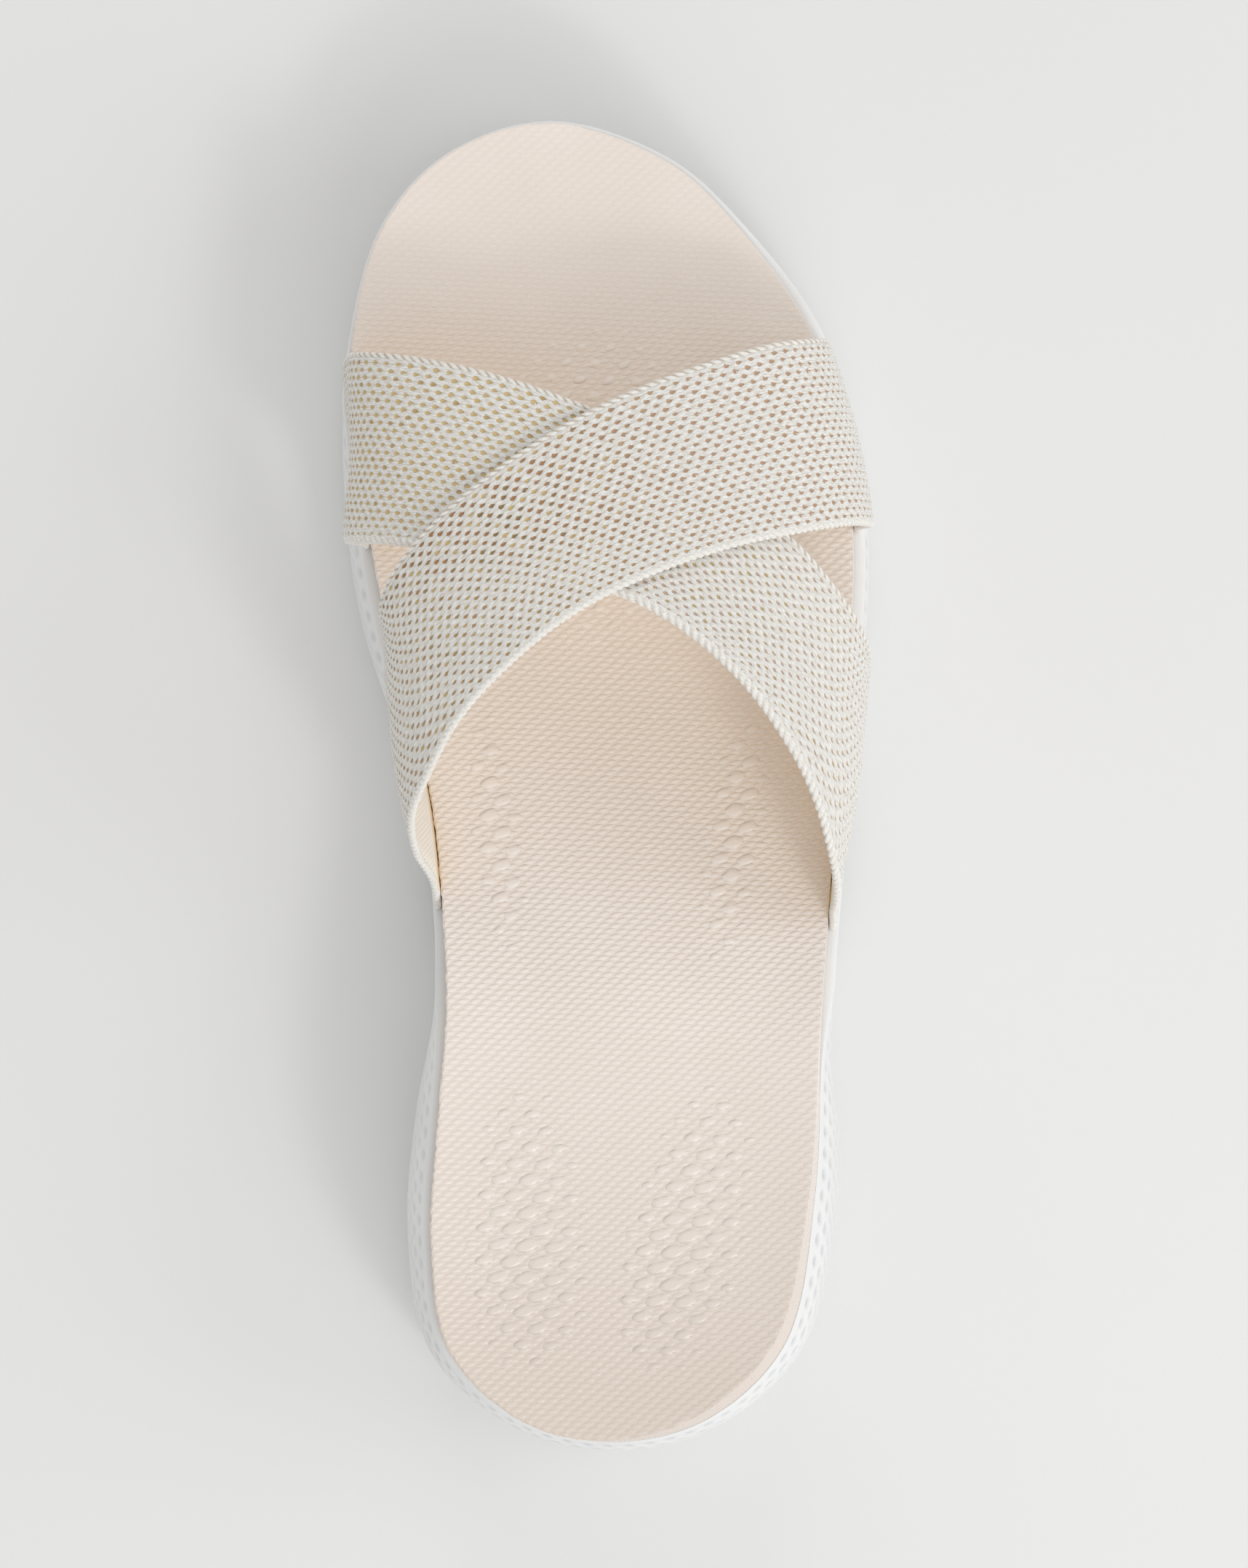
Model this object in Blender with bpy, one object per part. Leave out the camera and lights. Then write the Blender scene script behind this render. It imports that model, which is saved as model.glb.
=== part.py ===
"""Mule sandal for a right foot: a moulded wedge sole, a contoured footbed and an upper of two crossed straps.

The frame has +Y from heel to toe, +X towards the little toe and +Z up. The origin lies on the floor,
under the middle of the sandal's box. Sizes in the tables are millimetres.
"""

import math
from collections import namedtuple

import bmesh
import bpy
import numpy as np

MM = 0.001

# Driving sizes
SEAM_GAP = 0.3          # clearance between two pieces that meet
STRAP_THICKNESS = 1.5   # knit face and lining together
STRAP_OVERLAP = 0.35    # how far the upper strap sinks into the lower one where they are joined
FOOTBED_THICKNESS = 5.0
FOOTBED_EDGE_RADIUS = 0.9
HEEL_CUP = 2.0          # rise of the footbed's rim round the heel
TOE_CUP = 0.4           # rise of the footbed's rim round the toe
SEAT_HEEL = 38.0        # height of the sole's top under the heel
SEAT_BALL = 23.0        # and under the ball of the foot
SEAT_TOE = 27.5         # and at the toe
SEAT_SLOPE_FROM = -88.0
BALL_Y = 45.0
TOE_Y = 125.6
TOE_SPRING = 9.0        # rise of the tread at the toe tip
TOE_SPRING_FROM = 58.0
HEEL_BEVEL = 2.5        # rise of the tread at the back of the heel
HEEL_BEVEL_FROM = -108.0
HEEL_BACK = -129.0
ARCH_RISE = 3.0         # rise of the tread under the waist
ARCH_FROM, ARCH_TO = -45.0, 18.0
BOX_MIDDLE = (-3.535, -0.704)   # middle of the sandal's box in the outline table's own axes

# The footbed's lower edge, clockwise from the toe tip. flare is how far the sole stands out past it,
# bevel is how far the footbed's top edge is drawn in from it.
Outline = namedtuple("Outline", "place x y flare bevel")
OUTLINE = [
    Outline("toe tip", -14.2, 125.6, 1.6, 0.6),
    Outline("lateral toe front", 8.0, 118.6, 1.7, 0.6),
    Outline("lateral toe", 21.8, 106.1, 2.0, 0.6),
    Outline("lateral toe joint", 36.0, 85.6, 2.8, 0.6),
    Outline("lateral ball", 42.4, 62.0, 3.2, 0.6),
    Outline("lateral ball rear", 44.0, 42.0, 3.2, 0.6),
    Outline("lateral waist front", 40.9, 0.0, 2.8, 0.6),
    Outline("lateral waist", 37.5, -45.0, 2.5, 0.8),
    Outline("lateral heel", 36.1, -78.0, 4.6, 1.4),
    Outline("lateral heel corner", 30.4, -106.0, 4.4, 2.6),
    Outline("heel back lateral", 16.0, -120.0, 4.4, 2.4),
    Outline("heel back", -1.0, -124.4, 4.2, 1.4),
    Outline("heel back medial", -18.2, -120.7, 4.4, 0.7),
    Outline("medial heel corner", -32.8, -107.0, 4.8, 0.6),
    Outline("medial heel", -36.4, -86.0, 5.2, 0.6),
    Outline("medial heel front", -35.2, -64.0, 4.8, 0.6),
    Outline("medial waist", -33.7, -42.0, 3.2, 0.6),
    Outline("medial waist front", -34.6, -22.0, 2.8, 0.6),
    Outline("medial arch rear", -37.2, -0.7, 3.0, 0.6),
    Outline("medial arch", -46.3, 34.2, 3.8, 0.6),
    Outline("medial ball", -51.0, 66.0, 3.0, 0.6),
    Outline("medial toe joint", -51.8, 85.0, 2.6, 0.6),
    Outline("medial toe", -45.9, 106.1, 1.8, 0.6),
    Outline("medial toe front", -33.7, 119.6, 1.6, 0.6),
]
CURVE_STEPS = 24         # points between two rows of the outline
TOE_POLE_Y = 88.0        # the spine of the shoe runs between these two places
HEEL_POLE_Y = -92.0
STATIONS = 34            # along each side, between the poles
TOE_POINTS = 21          # round each end
HEEL_POINTS = 19

# Section of the sole's side, from its top ledge to the tread. Each ring lies at a share of the rim's width and
# of the flare beyond the rim, drawn in by inset. up is a share of the local height, with lift added to it.
RIM_WIDTH = 2.2          # the ledge that carries the straps
RIM_SHARE = 0.9          # of the flare, where the flare is narrow
SideRing = namedtuple("SideRing", "place rim flare inset up lift")
SOLE_SIDE = [
    SideRing("ledge", 0.0, 0.0, 0.0, 1.0, 0.0),
    SideRing("rim", 1.0, 0.0, 0.3, 1.0, 0.0),
    SideRing("bead", 1.0, 0.0, 0.0, 1.0, -0.6),
    SideRing("bead foot", 1.0, 0.0, 0.1, 1.0, -1.5),
    SideRing("groove", 1.0, 0.0, 0.6, 1.0, -1.9),
    SideRing("groove foot", 1.0, 0.2, -0.1, 1.0, -2.6),
    SideRing("shoulder", 1.0, 0.75, 0.0, 0.72, 0.0),
    SideRing("belly", 1.0, 1.0, 0.0, 0.46, 0.0),
    SideRing("skirt", 1.0, 0.82, 0.0, 0.2, 0.0),
    SideRing("tread edge", 1.0, 0.6, 0.5, 0.0, 1.6),
    SideRing("tread", 1.0, 0.4, 2.2, 0.0, 0.0),
]
SOLE_CAP_SHARES = (0.86, 0.5)              # inner rings of the sole's top and tread
FOOTBED_CAP_SHARES = (0.88, 0.72, 0.5, 0.25)

# Flex grooves across the flat spots of the tread
GROOVE_WIDTH = 2.6
GROOVE_DEPTH = 1.6
GROOVE_MARGIN = 11.0
GrooveField = namedtuple("GrooveField", "place first last count")
GROOVE_FIELDS = [
    GrooveField("heel", -102.0, -52.0, 6),
    GrooveField("forefoot", 22.0, 56.0, 5),
]

# The last under the straps: height of the instep above the seat, and how far each side swells out past its bulge
Instep = namedtuple("Instep", "y height medial_swell lateral_swell")
LAST = [
    Instep(-40.0, 66.0, 0.0, -2.0),
    Instep(-20.0, 64.0, 0.0, -2.2),
    Instep(0.0, 60.5, 2.3, 0.0),
    Instep(15.0, 56.5, 0.4, 0.4),
    Instep(30.0, 51.0, -2.0, 0.6),
    Instep(45.0, 45.5, 1.8, 0.5),
    Instep(60.0, 41.0, -1.0, 0.0),
    Instep(80.0, 35.5, -2.5, -1.0),
    Instep(95.0, 32.0, -2.5, -1.0),
]
MEDIAL_BULGE = 5.0       # how far the shoulders of the last stand out from an even arch
LATERAL_BULGE = 7.0
SWELL_SHARE = 0.3        # of the way round, where a side's swell has died out
RIDGE_SHIFT = -5.0       # the ridge of the instep lies towards the big toe
ROUNDNESS = 0.9
SEAM_OFFSET = 0.35       # the strap's inner face stands this far out from the footbed's edge

# Strap edges. around runs over the last from the medial seam, 0, to the lateral seam, 1.
StrapEdge = namedtuple("StrapEdge", "around front rear")
OVER_STRAP = [
    StrapEdge(0.00, 17.0, -24.0),
    StrapEdge(0.08, 24.0, -15.5),
    StrapEdge(0.16, 30.6, -7.8),
    StrapEdge(0.24, 37.4, -0.2),
    StrapEdge(0.32, 46.8, 10.2),
    StrapEdge(0.40, 56.2, 20.0),
    StrapEdge(0.48, 64.8, 29.6),
    StrapEdge(0.56, 72.2, 37.2),
    StrapEdge(0.64, 77.6, 42.6),
    StrapEdge(0.72, 81.4, 45.8),
    StrapEdge(0.80, 83.0, 47.8),
    StrapEdge(0.88, 83.8, 48.4),
    StrapEdge(1.00, 83.0, 48.0),
]
UNDER_STRAP = [
    StrapEdge(0.00, 80.5, 45.0),
    StrapEdge(0.08, 81.6, 45.4),
    StrapEdge(0.16, 81.3, 45.0),
    StrapEdge(0.24, 80.9, 44.4),
    StrapEdge(0.32, 79.7, 43.0),
    StrapEdge(0.40, 77.2, 40.6),
    StrapEdge(0.48, 72.8, 37.0),
    StrapEdge(0.56, 66.0, 31.2),
    StrapEdge(0.64, 56.2, 20.0),
    StrapEdge(0.72, 45.2, 4.6),
    StrapEdge(0.80, 34.1, -12.0),
    StrapEdge(0.88, 25.6, -20.5),
    StrapEdge(1.00, 15.0, -28.0),
]
STRAP_STEPS_AROUND = 44
STRAP_STEPS_ACROSS = 7
LIFT_RISE = (0.10, 0.28)   # around, where the over strap climbs onto the under strap
LIFT_FALL = (0.73, 0.90)   # and where it comes down again

Finish = namedtuple("Finish", "name colour roughness")
SOLE_FINISH = Finish("white moulded foam", (0.86, 0.87, 0.88, 1.0), 0.55)
FOOTBED_FINISH = Finish("cream embossed foam", (0.82, 0.72, 0.62, 1.0), 0.7)
STRAP_FINISH = Finish("cream and gold knit", (0.80, 0.77, 0.69, 1.0), 0.85)


def ease(value, start, end):
    """Smooth step from 0 at start to 1 at end."""
    share = np.clip((np.asarray(value, float) - start) / (end - start), 0.0, 1.0)
    return share * share * (3.0 - 2.0 * share)


def smooth_column(table, key, column, value):
    """A table's column as a smooth curve through its rows, read at value of its key column."""
    keys = np.array([getattr(row, key) for row in table])
    heights = np.array([getattr(row, column) for row in table])
    slopes = np.gradient(heights, keys)
    at = np.clip(np.asarray(value, float), keys[0], keys[-1])
    i = np.clip(np.searchsorted(keys, at, side="right") - 1, 0, len(keys) - 2)
    span = keys[i + 1] - keys[i]
    u = (at - keys[i]) / span
    return (
        (2 * u**3 - 3 * u**2 + 1) * heights[i]
        + (u**3 - 2 * u**2 + u) * span * slopes[i]
        + (3 * u**2 - 2 * u**3) * heights[i + 1]
        + (u**3 - u**2) * span * slopes[i + 1]
    )


def seat_height(y):
    """Height of the sole's top, which carries the footbed and the ends of the straps."""
    slope = (SEAT_BALL - SEAT_HEEL) * ease(y, SEAT_SLOPE_FROM, BALL_Y)
    toe = (SEAT_TOE - SEAT_BALL) * np.clip((np.asarray(y) - BALL_Y) / (TOE_Y - BALL_Y), 0.0, None) ** 2
    return SEAT_HEEL + slope + toe


def tread_height(y):
    """Height of the tread: flat under heel and ball, raised at the toe, the waist and the back of the heel."""
    y = np.asarray(y, float)
    toe = TOE_SPRING * np.clip((y - TOE_SPRING_FROM) / (TOE_Y - TOE_SPRING_FROM), 0.0, None) ** 1.8
    heel = HEEL_BEVEL * np.clip((HEEL_BEVEL_FROM - y) / (HEEL_BEVEL_FROM - HEEL_BACK), 0.0, None) ** 2
    arch = ARCH_RISE * np.sin(np.pi * np.clip((y - ARCH_FROM) / (ARCH_TO - ARCH_FROM), 0.0, 1.0)) ** 2
    return toe + heel + arch


def footbed_height(share, y):
    """Height of the footbed's top. share is 0 on the spine and 1 at the rim, which is cupped."""
    cup = TOE_CUP + (HEEL_CUP - TOE_CUP) * (1.0 - ease(y, HEEL_POLE_Y, BALL_Y))
    return seat_height(y) + SEAM_GAP + FOOTBED_THICKNESS + cup * np.asarray(share) ** 3


def closed_curve(table):
    """The outline as a smooth closed curve, clockwise: rows of x, y, flare and bevel."""
    rows = np.array([[row.x, row.y, row.flare, row.bevel] for row in table])
    count = len(rows)
    knots = [math.sqrt(np.linalg.norm(rows[(i + 1) % count, :2] - rows[i, :2])) for i in range(count)]
    points = []
    for i in range(count):
        before, here, after, beyond = (rows[(i + k) % count] for k in (-1, 0, 1, 2))
        k0, k1, k2 = knots[i - 1], knots[i], knots[(i + 1) % count]
        leave = ((here - before) / k0 - (after - before) / (k0 + k1) + (after - here) / k1) * k1
        arrive = ((after - here) / k1 - (beyond - here) / (k1 + k2) + (beyond - after) / k2) * k1
        for u in np.arange(CURVE_STEPS) / CURVE_STEPS:
            points.append(
                (2 * u**3 - 3 * u**2 + 1) * here
                + (u**3 - 2 * u**2 + u) * leave
                + (3 * u**2 - 2 * u**3) * after
                + (u**3 - u**2) * arrive
            )
    return np.array(points)


class Outlines:
    """The footbed's edge, sampled at the same stations on both sides and round both ends."""

    def __init__(self):
        curve = closed_curve(OUTLINE)
        heel = int(np.argmin(curve[:, 1]))
        self.curve = np.vstack([curve, curve[:1]])
        self.lateral = (self.curve[: heel + 1, 1][::-1], np.arange(heel + 1)[::-1])
        self.medial = (self.curve[heel:, 1], np.arange(heel, len(self.curve)))
        stations = np.linspace(TOE_POLE_Y, HEEL_POLE_Y, STATIONS)
        lateral = np.interp(stations, *self.lateral)
        medial = np.interp(stations, *self.medial)
        heel_end = np.linspace(lateral[-1], medial[-1], HEEL_POINTS + 2)[1:-1]
        toe_end = np.linspace(medial[0], lateral[0] + len(curve), TOE_POINTS + 2)[1:-1] % len(curve)
        places = np.concatenate([lateral, heel_end, medial[::-1], toe_end])
        self.edge = self.read(places)
        self.normal = self.outward(places)
        self.spine = (self.read(lateral)[:, :2] + self.read(medial)[:, :2]) / 2
        last = STATIONS - 1
        self.rib = [*range(STATIONS), *[last] * HEEL_POINTS, *range(last, -1, -1), *[0] * TOE_POINTS]

    def read(self, places):
        index = np.arange(len(self.curve))
        return np.stack([np.interp(places, index, column) for column in self.curve.T], axis=1)

    def outward(self, places):
        step = 0.5
        count = len(self.curve) - 1
        along = (self.read((places + step) % count) - self.read((places - step) % count))[:, :2]
        along /= np.linalg.norm(along, axis=1, keepdims=True)
        return np.stack([-along[:, 1], along[:, 0]], axis=1)

    def side(self, y, which):
        """x of the footbed's edge at y, on its medial or lateral side."""
        keys, places = getattr(self, which)
        return np.interp(np.interp(y, keys, places), np.arange(len(self.curve)), self.curve[:, 0])

    def ring(self, out):
        """The edge moved outwards by out millimetres."""
        return self.edge[:, :2] + self.normal * np.broadcast_to(out, len(self.edge))[:, None]

    def inner_ring(self, ring, share):
        """A ring drawn in towards the spine: share is 1 at the ring and 0 on the spine."""
        spine = self.spine[self.rib]
        return spine + (ring - spine) * share


def with_height(points, height):
    return np.column_stack([points, np.broadcast_to(height, len(points))])


def new_object(name, bm, finish):
    """A mesh object in metres, centred on the sandal's box, with its own material."""
    bmesh.ops.translate(bm, verts=bm.verts, vec=(-BOX_MIDDLE[0], -BOX_MIDDLE[1], 0.0))
    bmesh.ops.scale(bm, verts=bm.verts, vec=(MM, MM, MM))
    bmesh.ops.recalc_face_normals(bm, faces=bm.faces)
    mesh = bpy.data.meshes.new(name)
    bm.to_mesh(mesh)
    bm.free()
    mesh.shade_smooth()
    mesh.set_sharp_from_angle(angle=math.radians(40))
    made = bpy.data.objects.new(name, mesh)
    bpy.context.collection.objects.link(made)
    material = bpy.data.materials.new(finish.name)
    material.use_nodes = True
    shader = material.node_tree.nodes["Principled BSDF"]
    shader.inputs["Base Color"].default_value = finish.colour
    shader.inputs["Roughness"].default_value = finish.roughness
    shader.inputs["Metallic"].default_value = 0.0
    mesh.materials.append(material)
    return made


def add_ring(bm, points):
    return [bm.verts.new(point) for point in points]


def bridge(bm, upper, lower):
    """Quads between two rings of the same count."""
    for i in range(len(upper)):
        j = (i + 1) % len(upper)
        bm.faces.new((upper[i], upper[j], lower[j], lower[i]))


def close_on_spine(bm, ring, spine, ribs):
    """Closes a ring onto the spine: quads along the sides and fans round the two ends."""
    for i in range(len(ring)):
        j = (i + 1) % len(ring)
        corners = [ring[i], ring[j], spine[ribs[j]], spine[ribs[i]]]
        bm.faces.new(corners if ribs[i] != ribs[j] else corners[:3])


def stack_rings(shape, top_spine, rings, bottom_spine):
    """A closed body from a spine, rings from its top to its bottom, and a second spine."""
    bm = bmesh.new()
    loops = [add_ring(bm, ring) for ring in rings]
    for upper, lower in zip(loops, loops[1:]):
        bridge(bm, upper, lower)
    close_on_spine(bm, loops[0], add_ring(bm, top_spine), shape.rib)
    close_on_spine(bm, loops[-1], add_ring(bm, bottom_spine), shape.rib)
    return bm


def make_sole(shape):
    """The wedge sole: a flat top, a ledge with a bead and a groove, a bulging side and the tread."""
    rim = np.minimum(RIM_WIDTH, RIM_SHARE * shape.edge[:, 2])
    flare = shape.edge[:, 2] - rim
    sides = []
    for row in SOLE_SIDE:
        ring = shape.ring(row.rim * rim + row.flare * flare - row.inset)
        seat = seat_height(shape.edge[:, 1])
        tread = tread_height(ring[:, 1])
        sides.append(with_height(ring, tread + (seat - tread) * row.up + row.lift))
    tops = []
    treads = []
    for share in SOLE_CAP_SHARES:
        top = shape.inner_ring(shape.ring(0.0), share)
        tops.append(with_height(top, seat_height(top[:, 1])))
        tread = shape.inner_ring(sides[-1][:, :2], share)
        treads.append(with_height(tread, tread_height(tread[:, 1])))
    spine_y = shape.spine[:, 1]
    bm = stack_rings(
        shape,
        with_height(shape.spine, seat_height(spine_y)),
        [*tops[::-1], *sides, *treads],
        with_height(shape.spine, tread_height(spine_y)),
    )
    return new_object("sole", bm, SOLE_FINISH)


def cut_grooves(shape, sole):
    """Flex grooves across the tread, inside a plain margin."""
    bm = bmesh.new()
    for field in GROOVE_FIELDS:
        for y in np.linspace(field.first, field.last, field.count):
            medial = shape.side(y, "medial") + GROOVE_MARGIN
            lateral = shape.side(y, "lateral") - GROOVE_MARGIN
            bar = bmesh.ops.create_cube(bm, size=1.0)["verts"]
            bmesh.ops.scale(bm, verts=bar, vec=(lateral - medial, GROOVE_WIDTH, 2 * GROOVE_DEPTH))
            bmesh.ops.translate(bm, verts=bar, vec=((medial + lateral) / 2, y, 0.0))
    cutter = new_object("groove_cutter", bm, SOLE_FINISH)
    cutter.hide_render = True
    cutter.display_type = "WIRE"
    cut = sole.modifiers.new("flex grooves", "BOOLEAN")
    cut.operation = "DIFFERENCE"
    cut.object = cutter


def make_footbed(shape):
    """The footbed: a thick pad with a bevelled wall, a rounded top edge and a cupped top."""
    edge = shape.ring(0.0)
    base = seat_height(shape.edge[:, 1]) + SEAM_GAP
    rim_top = footbed_height(1.0, shape.edge[:, 1])
    bevel = shape.edge[:, 3]
    rings = [
        with_height(shape.ring(-bevel), rim_top - FOOTBED_EDGE_RADIUS),
        with_height(edge, base),
    ]
    lip = shape.ring(-bevel - FOOTBED_EDGE_RADIUS)
    rings.insert(0, with_height(shape.ring(-bevel - 0.3 * FOOTBED_EDGE_RADIUS), rim_top - 0.3 * FOOTBED_EDGE_RADIUS))
    rings.insert(0, with_height(lip, rim_top))
    for share in FOOTBED_CAP_SHARES:
        inner = shape.inner_ring(lip, share)
        rings.insert(0, with_height(inner, footbed_height(share, inner[:, 1])))
    under = shape.inner_ring(edge, SOLE_CAP_SHARES[-1])
    rings.append(with_height(under, seat_height(under[:, 1]) + SEAM_GAP))
    spine_y = shape.spine[:, 1]
    bm = stack_rings(
        shape,
        with_height(shape.spine, footbed_height(0.0, spine_y)),
        rings,
        with_height(shape.spine, seat_height(spine_y) + SEAM_GAP),
    )
    return new_object("footbed", bm, FOOTBED_FINISH)


def last_point(shape, around, y):
    """A point of the last: around goes from the medial seam, over the instep, to the lateral seam."""
    angle = np.pi * around
    medial = shape.side(y, "medial") - SEAM_OFFSET
    lateral = shape.side(y, "lateral") + SEAM_OFFSET
    near_seam = np.clip(np.minimum(around, 1.0 - around) / SWELL_SHARE, 0.0, 1.0)
    swell = np.where(
        around < 0.5,
        -smooth_column(LAST, "y", "medial_swell", y),
        smooth_column(LAST, "y", "lateral_swell", y),
    )
    bulge = np.where(around < 0.5, -MEDIAL_BULGE, LATERAL_BULGE)
    x = (medial + lateral) / 2 - (lateral - medial) / 2 * np.cos(angle)
    x = x + bulge * np.abs(np.sin(2 * angle)) + swell * 6.75 * near_seam * (1.0 - near_seam) ** 2
    x = x + RIDGE_SHIFT * np.sin(angle) ** 2
    rise = smooth_column(LAST, "y", "height", y) * np.abs(np.sin(angle)) ** ROUNDNESS
    return np.stack([x, y, seat_height(y) + SEAM_GAP + rise], axis=-1)


def last_normal(shape, around, y):
    """The last's outward direction, level at the seams so that a strap's end stands flat on the ledge."""
    step_around, step_y = 0.004, 0.5
    low, high = np.clip(around - step_around, 0.0, 1.0), np.clip(around + step_around, 0.0, 1.0)
    along = last_point(shape, high, y) - last_point(shape, low, y)
    forward = last_point(shape, around, y + step_y) - last_point(shape, around, y - step_y)
    normal = np.cross(along, forward)
    normal[..., 2] *= ease(np.minimum(around, 1.0 - around), 0.0, 0.06)
    return normal / np.linalg.norm(normal, axis=-1, keepdims=True)


def strap_surface(shape, edges, lift, depth):
    """A grid of points on a strap, depth millimetres out from its inner face."""
    around = np.repeat(np.linspace(0.0, 1.0, STRAP_STEPS_AROUND + 1)[:, None], STRAP_STEPS_ACROSS + 1, axis=1)
    across = np.linspace(0.0, 1.0, STRAP_STEPS_ACROSS + 1)[None, :]
    front = smooth_column(edges, "around", "front", around)
    rear = smooth_column(edges, "around", "rear", around)
    y = front + (rear - front) * across
    raised = lift * ease(around, *LIFT_RISE) * (1.0 - ease(around, *LIFT_FALL))
    return last_point(shape, around, y) + last_normal(shape, around, y) * (raised + depth)[..., None]


def make_strap(shape, name, edges, lift):
    """One strap as a closed band: its inner and outer faces and the four edges between them."""
    bm = bmesh.new()
    inner, outer = (
        [add_ring(bm, row) for row in strap_surface(shape, edges, lift, depth)] for depth in (0.0, STRAP_THICKNESS)
    )
    for upper, lower in ((outer[i : i + 2], inner[i : i + 2]) for i in range(STRAP_STEPS_AROUND)):
        for k in range(STRAP_STEPS_ACROSS):
            bm.faces.new((upper[0][k], upper[0][k + 1], upper[1][k + 1], upper[1][k]))
            bm.faces.new((lower[0][k], lower[1][k], lower[1][k + 1], lower[0][k + 1]))
        for k in (0, -1):
            bm.faces.new((upper[0][k], upper[1][k], lower[1][k], lower[0][k]))
    for end in (0, -1):
        for k in range(STRAP_STEPS_ACROSS):
            bm.faces.new((outer[end][k], outer[end][k + 1], inner[end][k + 1], inner[end][k]))
    return new_object(name, bm, STRAP_FINISH)


def make_upper(shape):
    """The upper: two crossed straps, joined where the over strap lies on the under strap."""
    upper = make_strap(shape, "upper", UNDER_STRAP, 0.0)
    over = make_strap(shape, "over_strap", OVER_STRAP, STRAP_THICKNESS - STRAP_OVERLAP)
    over.hide_render = True
    over.display_type = "WIRE"
    join = upper.modifiers.new("join at the crossing", "BOOLEAN")
    join.operation = "UNION"
    join.object = over
    return upper


def main():
    for old in list(bpy.data.objects):
        bpy.data.objects.remove(old)
    shape = Outlines()
    sole = make_sole(shape)
    cut_grooves(shape, sole)
    make_footbed(shape)
    make_upper(shape)


main()
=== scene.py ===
"""Looks of a mule sandal for a right foot: moulded sole, embossed footbed and two crossed knit straps."""

import math

import bmesh
import bpy
import numpy as np
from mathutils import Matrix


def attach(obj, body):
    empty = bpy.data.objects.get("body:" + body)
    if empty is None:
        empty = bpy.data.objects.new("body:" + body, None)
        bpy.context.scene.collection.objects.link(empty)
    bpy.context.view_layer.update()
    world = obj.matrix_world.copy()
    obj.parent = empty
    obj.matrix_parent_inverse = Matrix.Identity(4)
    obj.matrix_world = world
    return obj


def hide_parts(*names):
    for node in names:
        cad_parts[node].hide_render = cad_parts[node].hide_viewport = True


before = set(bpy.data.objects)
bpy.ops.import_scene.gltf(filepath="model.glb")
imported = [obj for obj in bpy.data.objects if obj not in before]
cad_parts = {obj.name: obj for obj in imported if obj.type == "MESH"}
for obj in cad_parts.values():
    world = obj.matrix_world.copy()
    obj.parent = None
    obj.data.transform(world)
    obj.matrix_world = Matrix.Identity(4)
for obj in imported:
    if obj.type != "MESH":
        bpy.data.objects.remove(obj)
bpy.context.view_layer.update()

# Sole
# A one-piece wedge sole of white EVA foam, moulded in a closed tool. A rolled bead and a groove run round
# its top ledge, rows of oval dimples cover its bulging side, and flex grooves cross its tread. The footbed
# and the ends of the straps are bonded to the ledge.
MM = 0.001                                   # the sandal's sizes are written in millimetres
BOX_MIDDLE = np.array([-3.535, -0.704, 0.0])   # middle of the sandal's box in the tables' own axes
SEAT_HEEL, SEAT_BALL, SEAT_TOE = 38.0, 23.0, 27.5
SEAT_SLOPE_FROM, BALL_Y, TOE_Y = -88.0, 45.0, 125.6
TOE_POLE_Y, HEEL_POLE_Y = 88.0, -92.0
TOE_SPRING, TOE_SPRING_FROM = 9.0, 58.0
HEEL_RISE, HEEL_RISE_FROM, HEEL_RISE_RUN = 2.5, -108.0, 21.0
WAIST_RISE, WAIST_FROM, WAIST_LENGTH = 3.0, -45.0, 63.0
STATIONS, TOE_POINTS, HEEL_POINTS = 330, 268, 186
EDGE_STEPS = 80

# The footbed's lower edge, clockwise from the toe tip: x, y, flare of the sole past it, bevel of the footbed
EDGE_ROWS = np.array([
    (-14.2, 125.6, 1.0, 0.2), (8.0, 118.6, 1.2, 0.2), (21.8, 106.1, 1.5, 0.2), (36.0, 85.6, 2.4, 0.2),
    (42.4, 62.0, 3.2, 0.2), (44.0, 42.0, 3.4, 0.2), (40.9, 0.0, 2.8, 0.2), (37.5, -45.0, 2.5, 0.3),
    (36.1, -78.0, 5.0, 1.2), (30.4, -106.0, 4.6, 2.2), (16.0, -120.0, 3.7, 2.0), (-1.0, -124.4, 3.4, 1.0),
    (-18.2, -120.7, 3.8, 0.4), (-32.8, -107.0, 4.8, 0.2), (-36.4, -86.0, 5.2, 0.2), (-35.2, -64.0, 4.9, 0.2),
    (-33.7, -42.0, 2.7, 0.2), (-34.6, -22.0, 2.0, 0.2), (-37.2, -0.7, 3.0, 0.2), (-46.3, 34.2, 5.0, 0.2),
    (-51.0, 66.0, 3.4, 0.2), (-51.8, 85.0, 0.9, 0.2), (-45.9, 106.1, 0.8, 0.2), (-33.7, 119.6, 0.8, 0.2),
])
# Section of the side from the ledge to the tread: shares of rim and flare, inset, share of the height, lift
SIDE_RINGS = np.array([
    (0.0, 0.0, 0.0, 1.0, 0.0), (1.0, 0.0, 0.3, 1.0, 0.0), (1.0, 0.0, 0.0, 1.0, -0.5),
    (1.0, 0.1, 0.0, 1.0, -1.4), (1.0, 0.5, 0.0, 0.86, 0.0), (1.0, 0.82, 0.0, 0.68, 0.0),
    (1.0, 1.0, 0.0, 0.46, 0.0), (1.0, 0.82, 0.0, 0.2, 0.0), (1.0, 0.6, 0.5, 0.0, 1.6),
    (1.0, 0.4, 2.2, 0.0, 0.0),
])
ROWS_PER_RING = (2, 2, 3, 12, 14, 16, 14, 4, 3)
WALL_FROM_RING, BELLY_RING, WALL_TO_RING = 3, 6, 7
RIM_WIDTH, RIM_SHARE, HEEL_RIMS = 2.2, 0.9, (0.4, 1.5)
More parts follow.
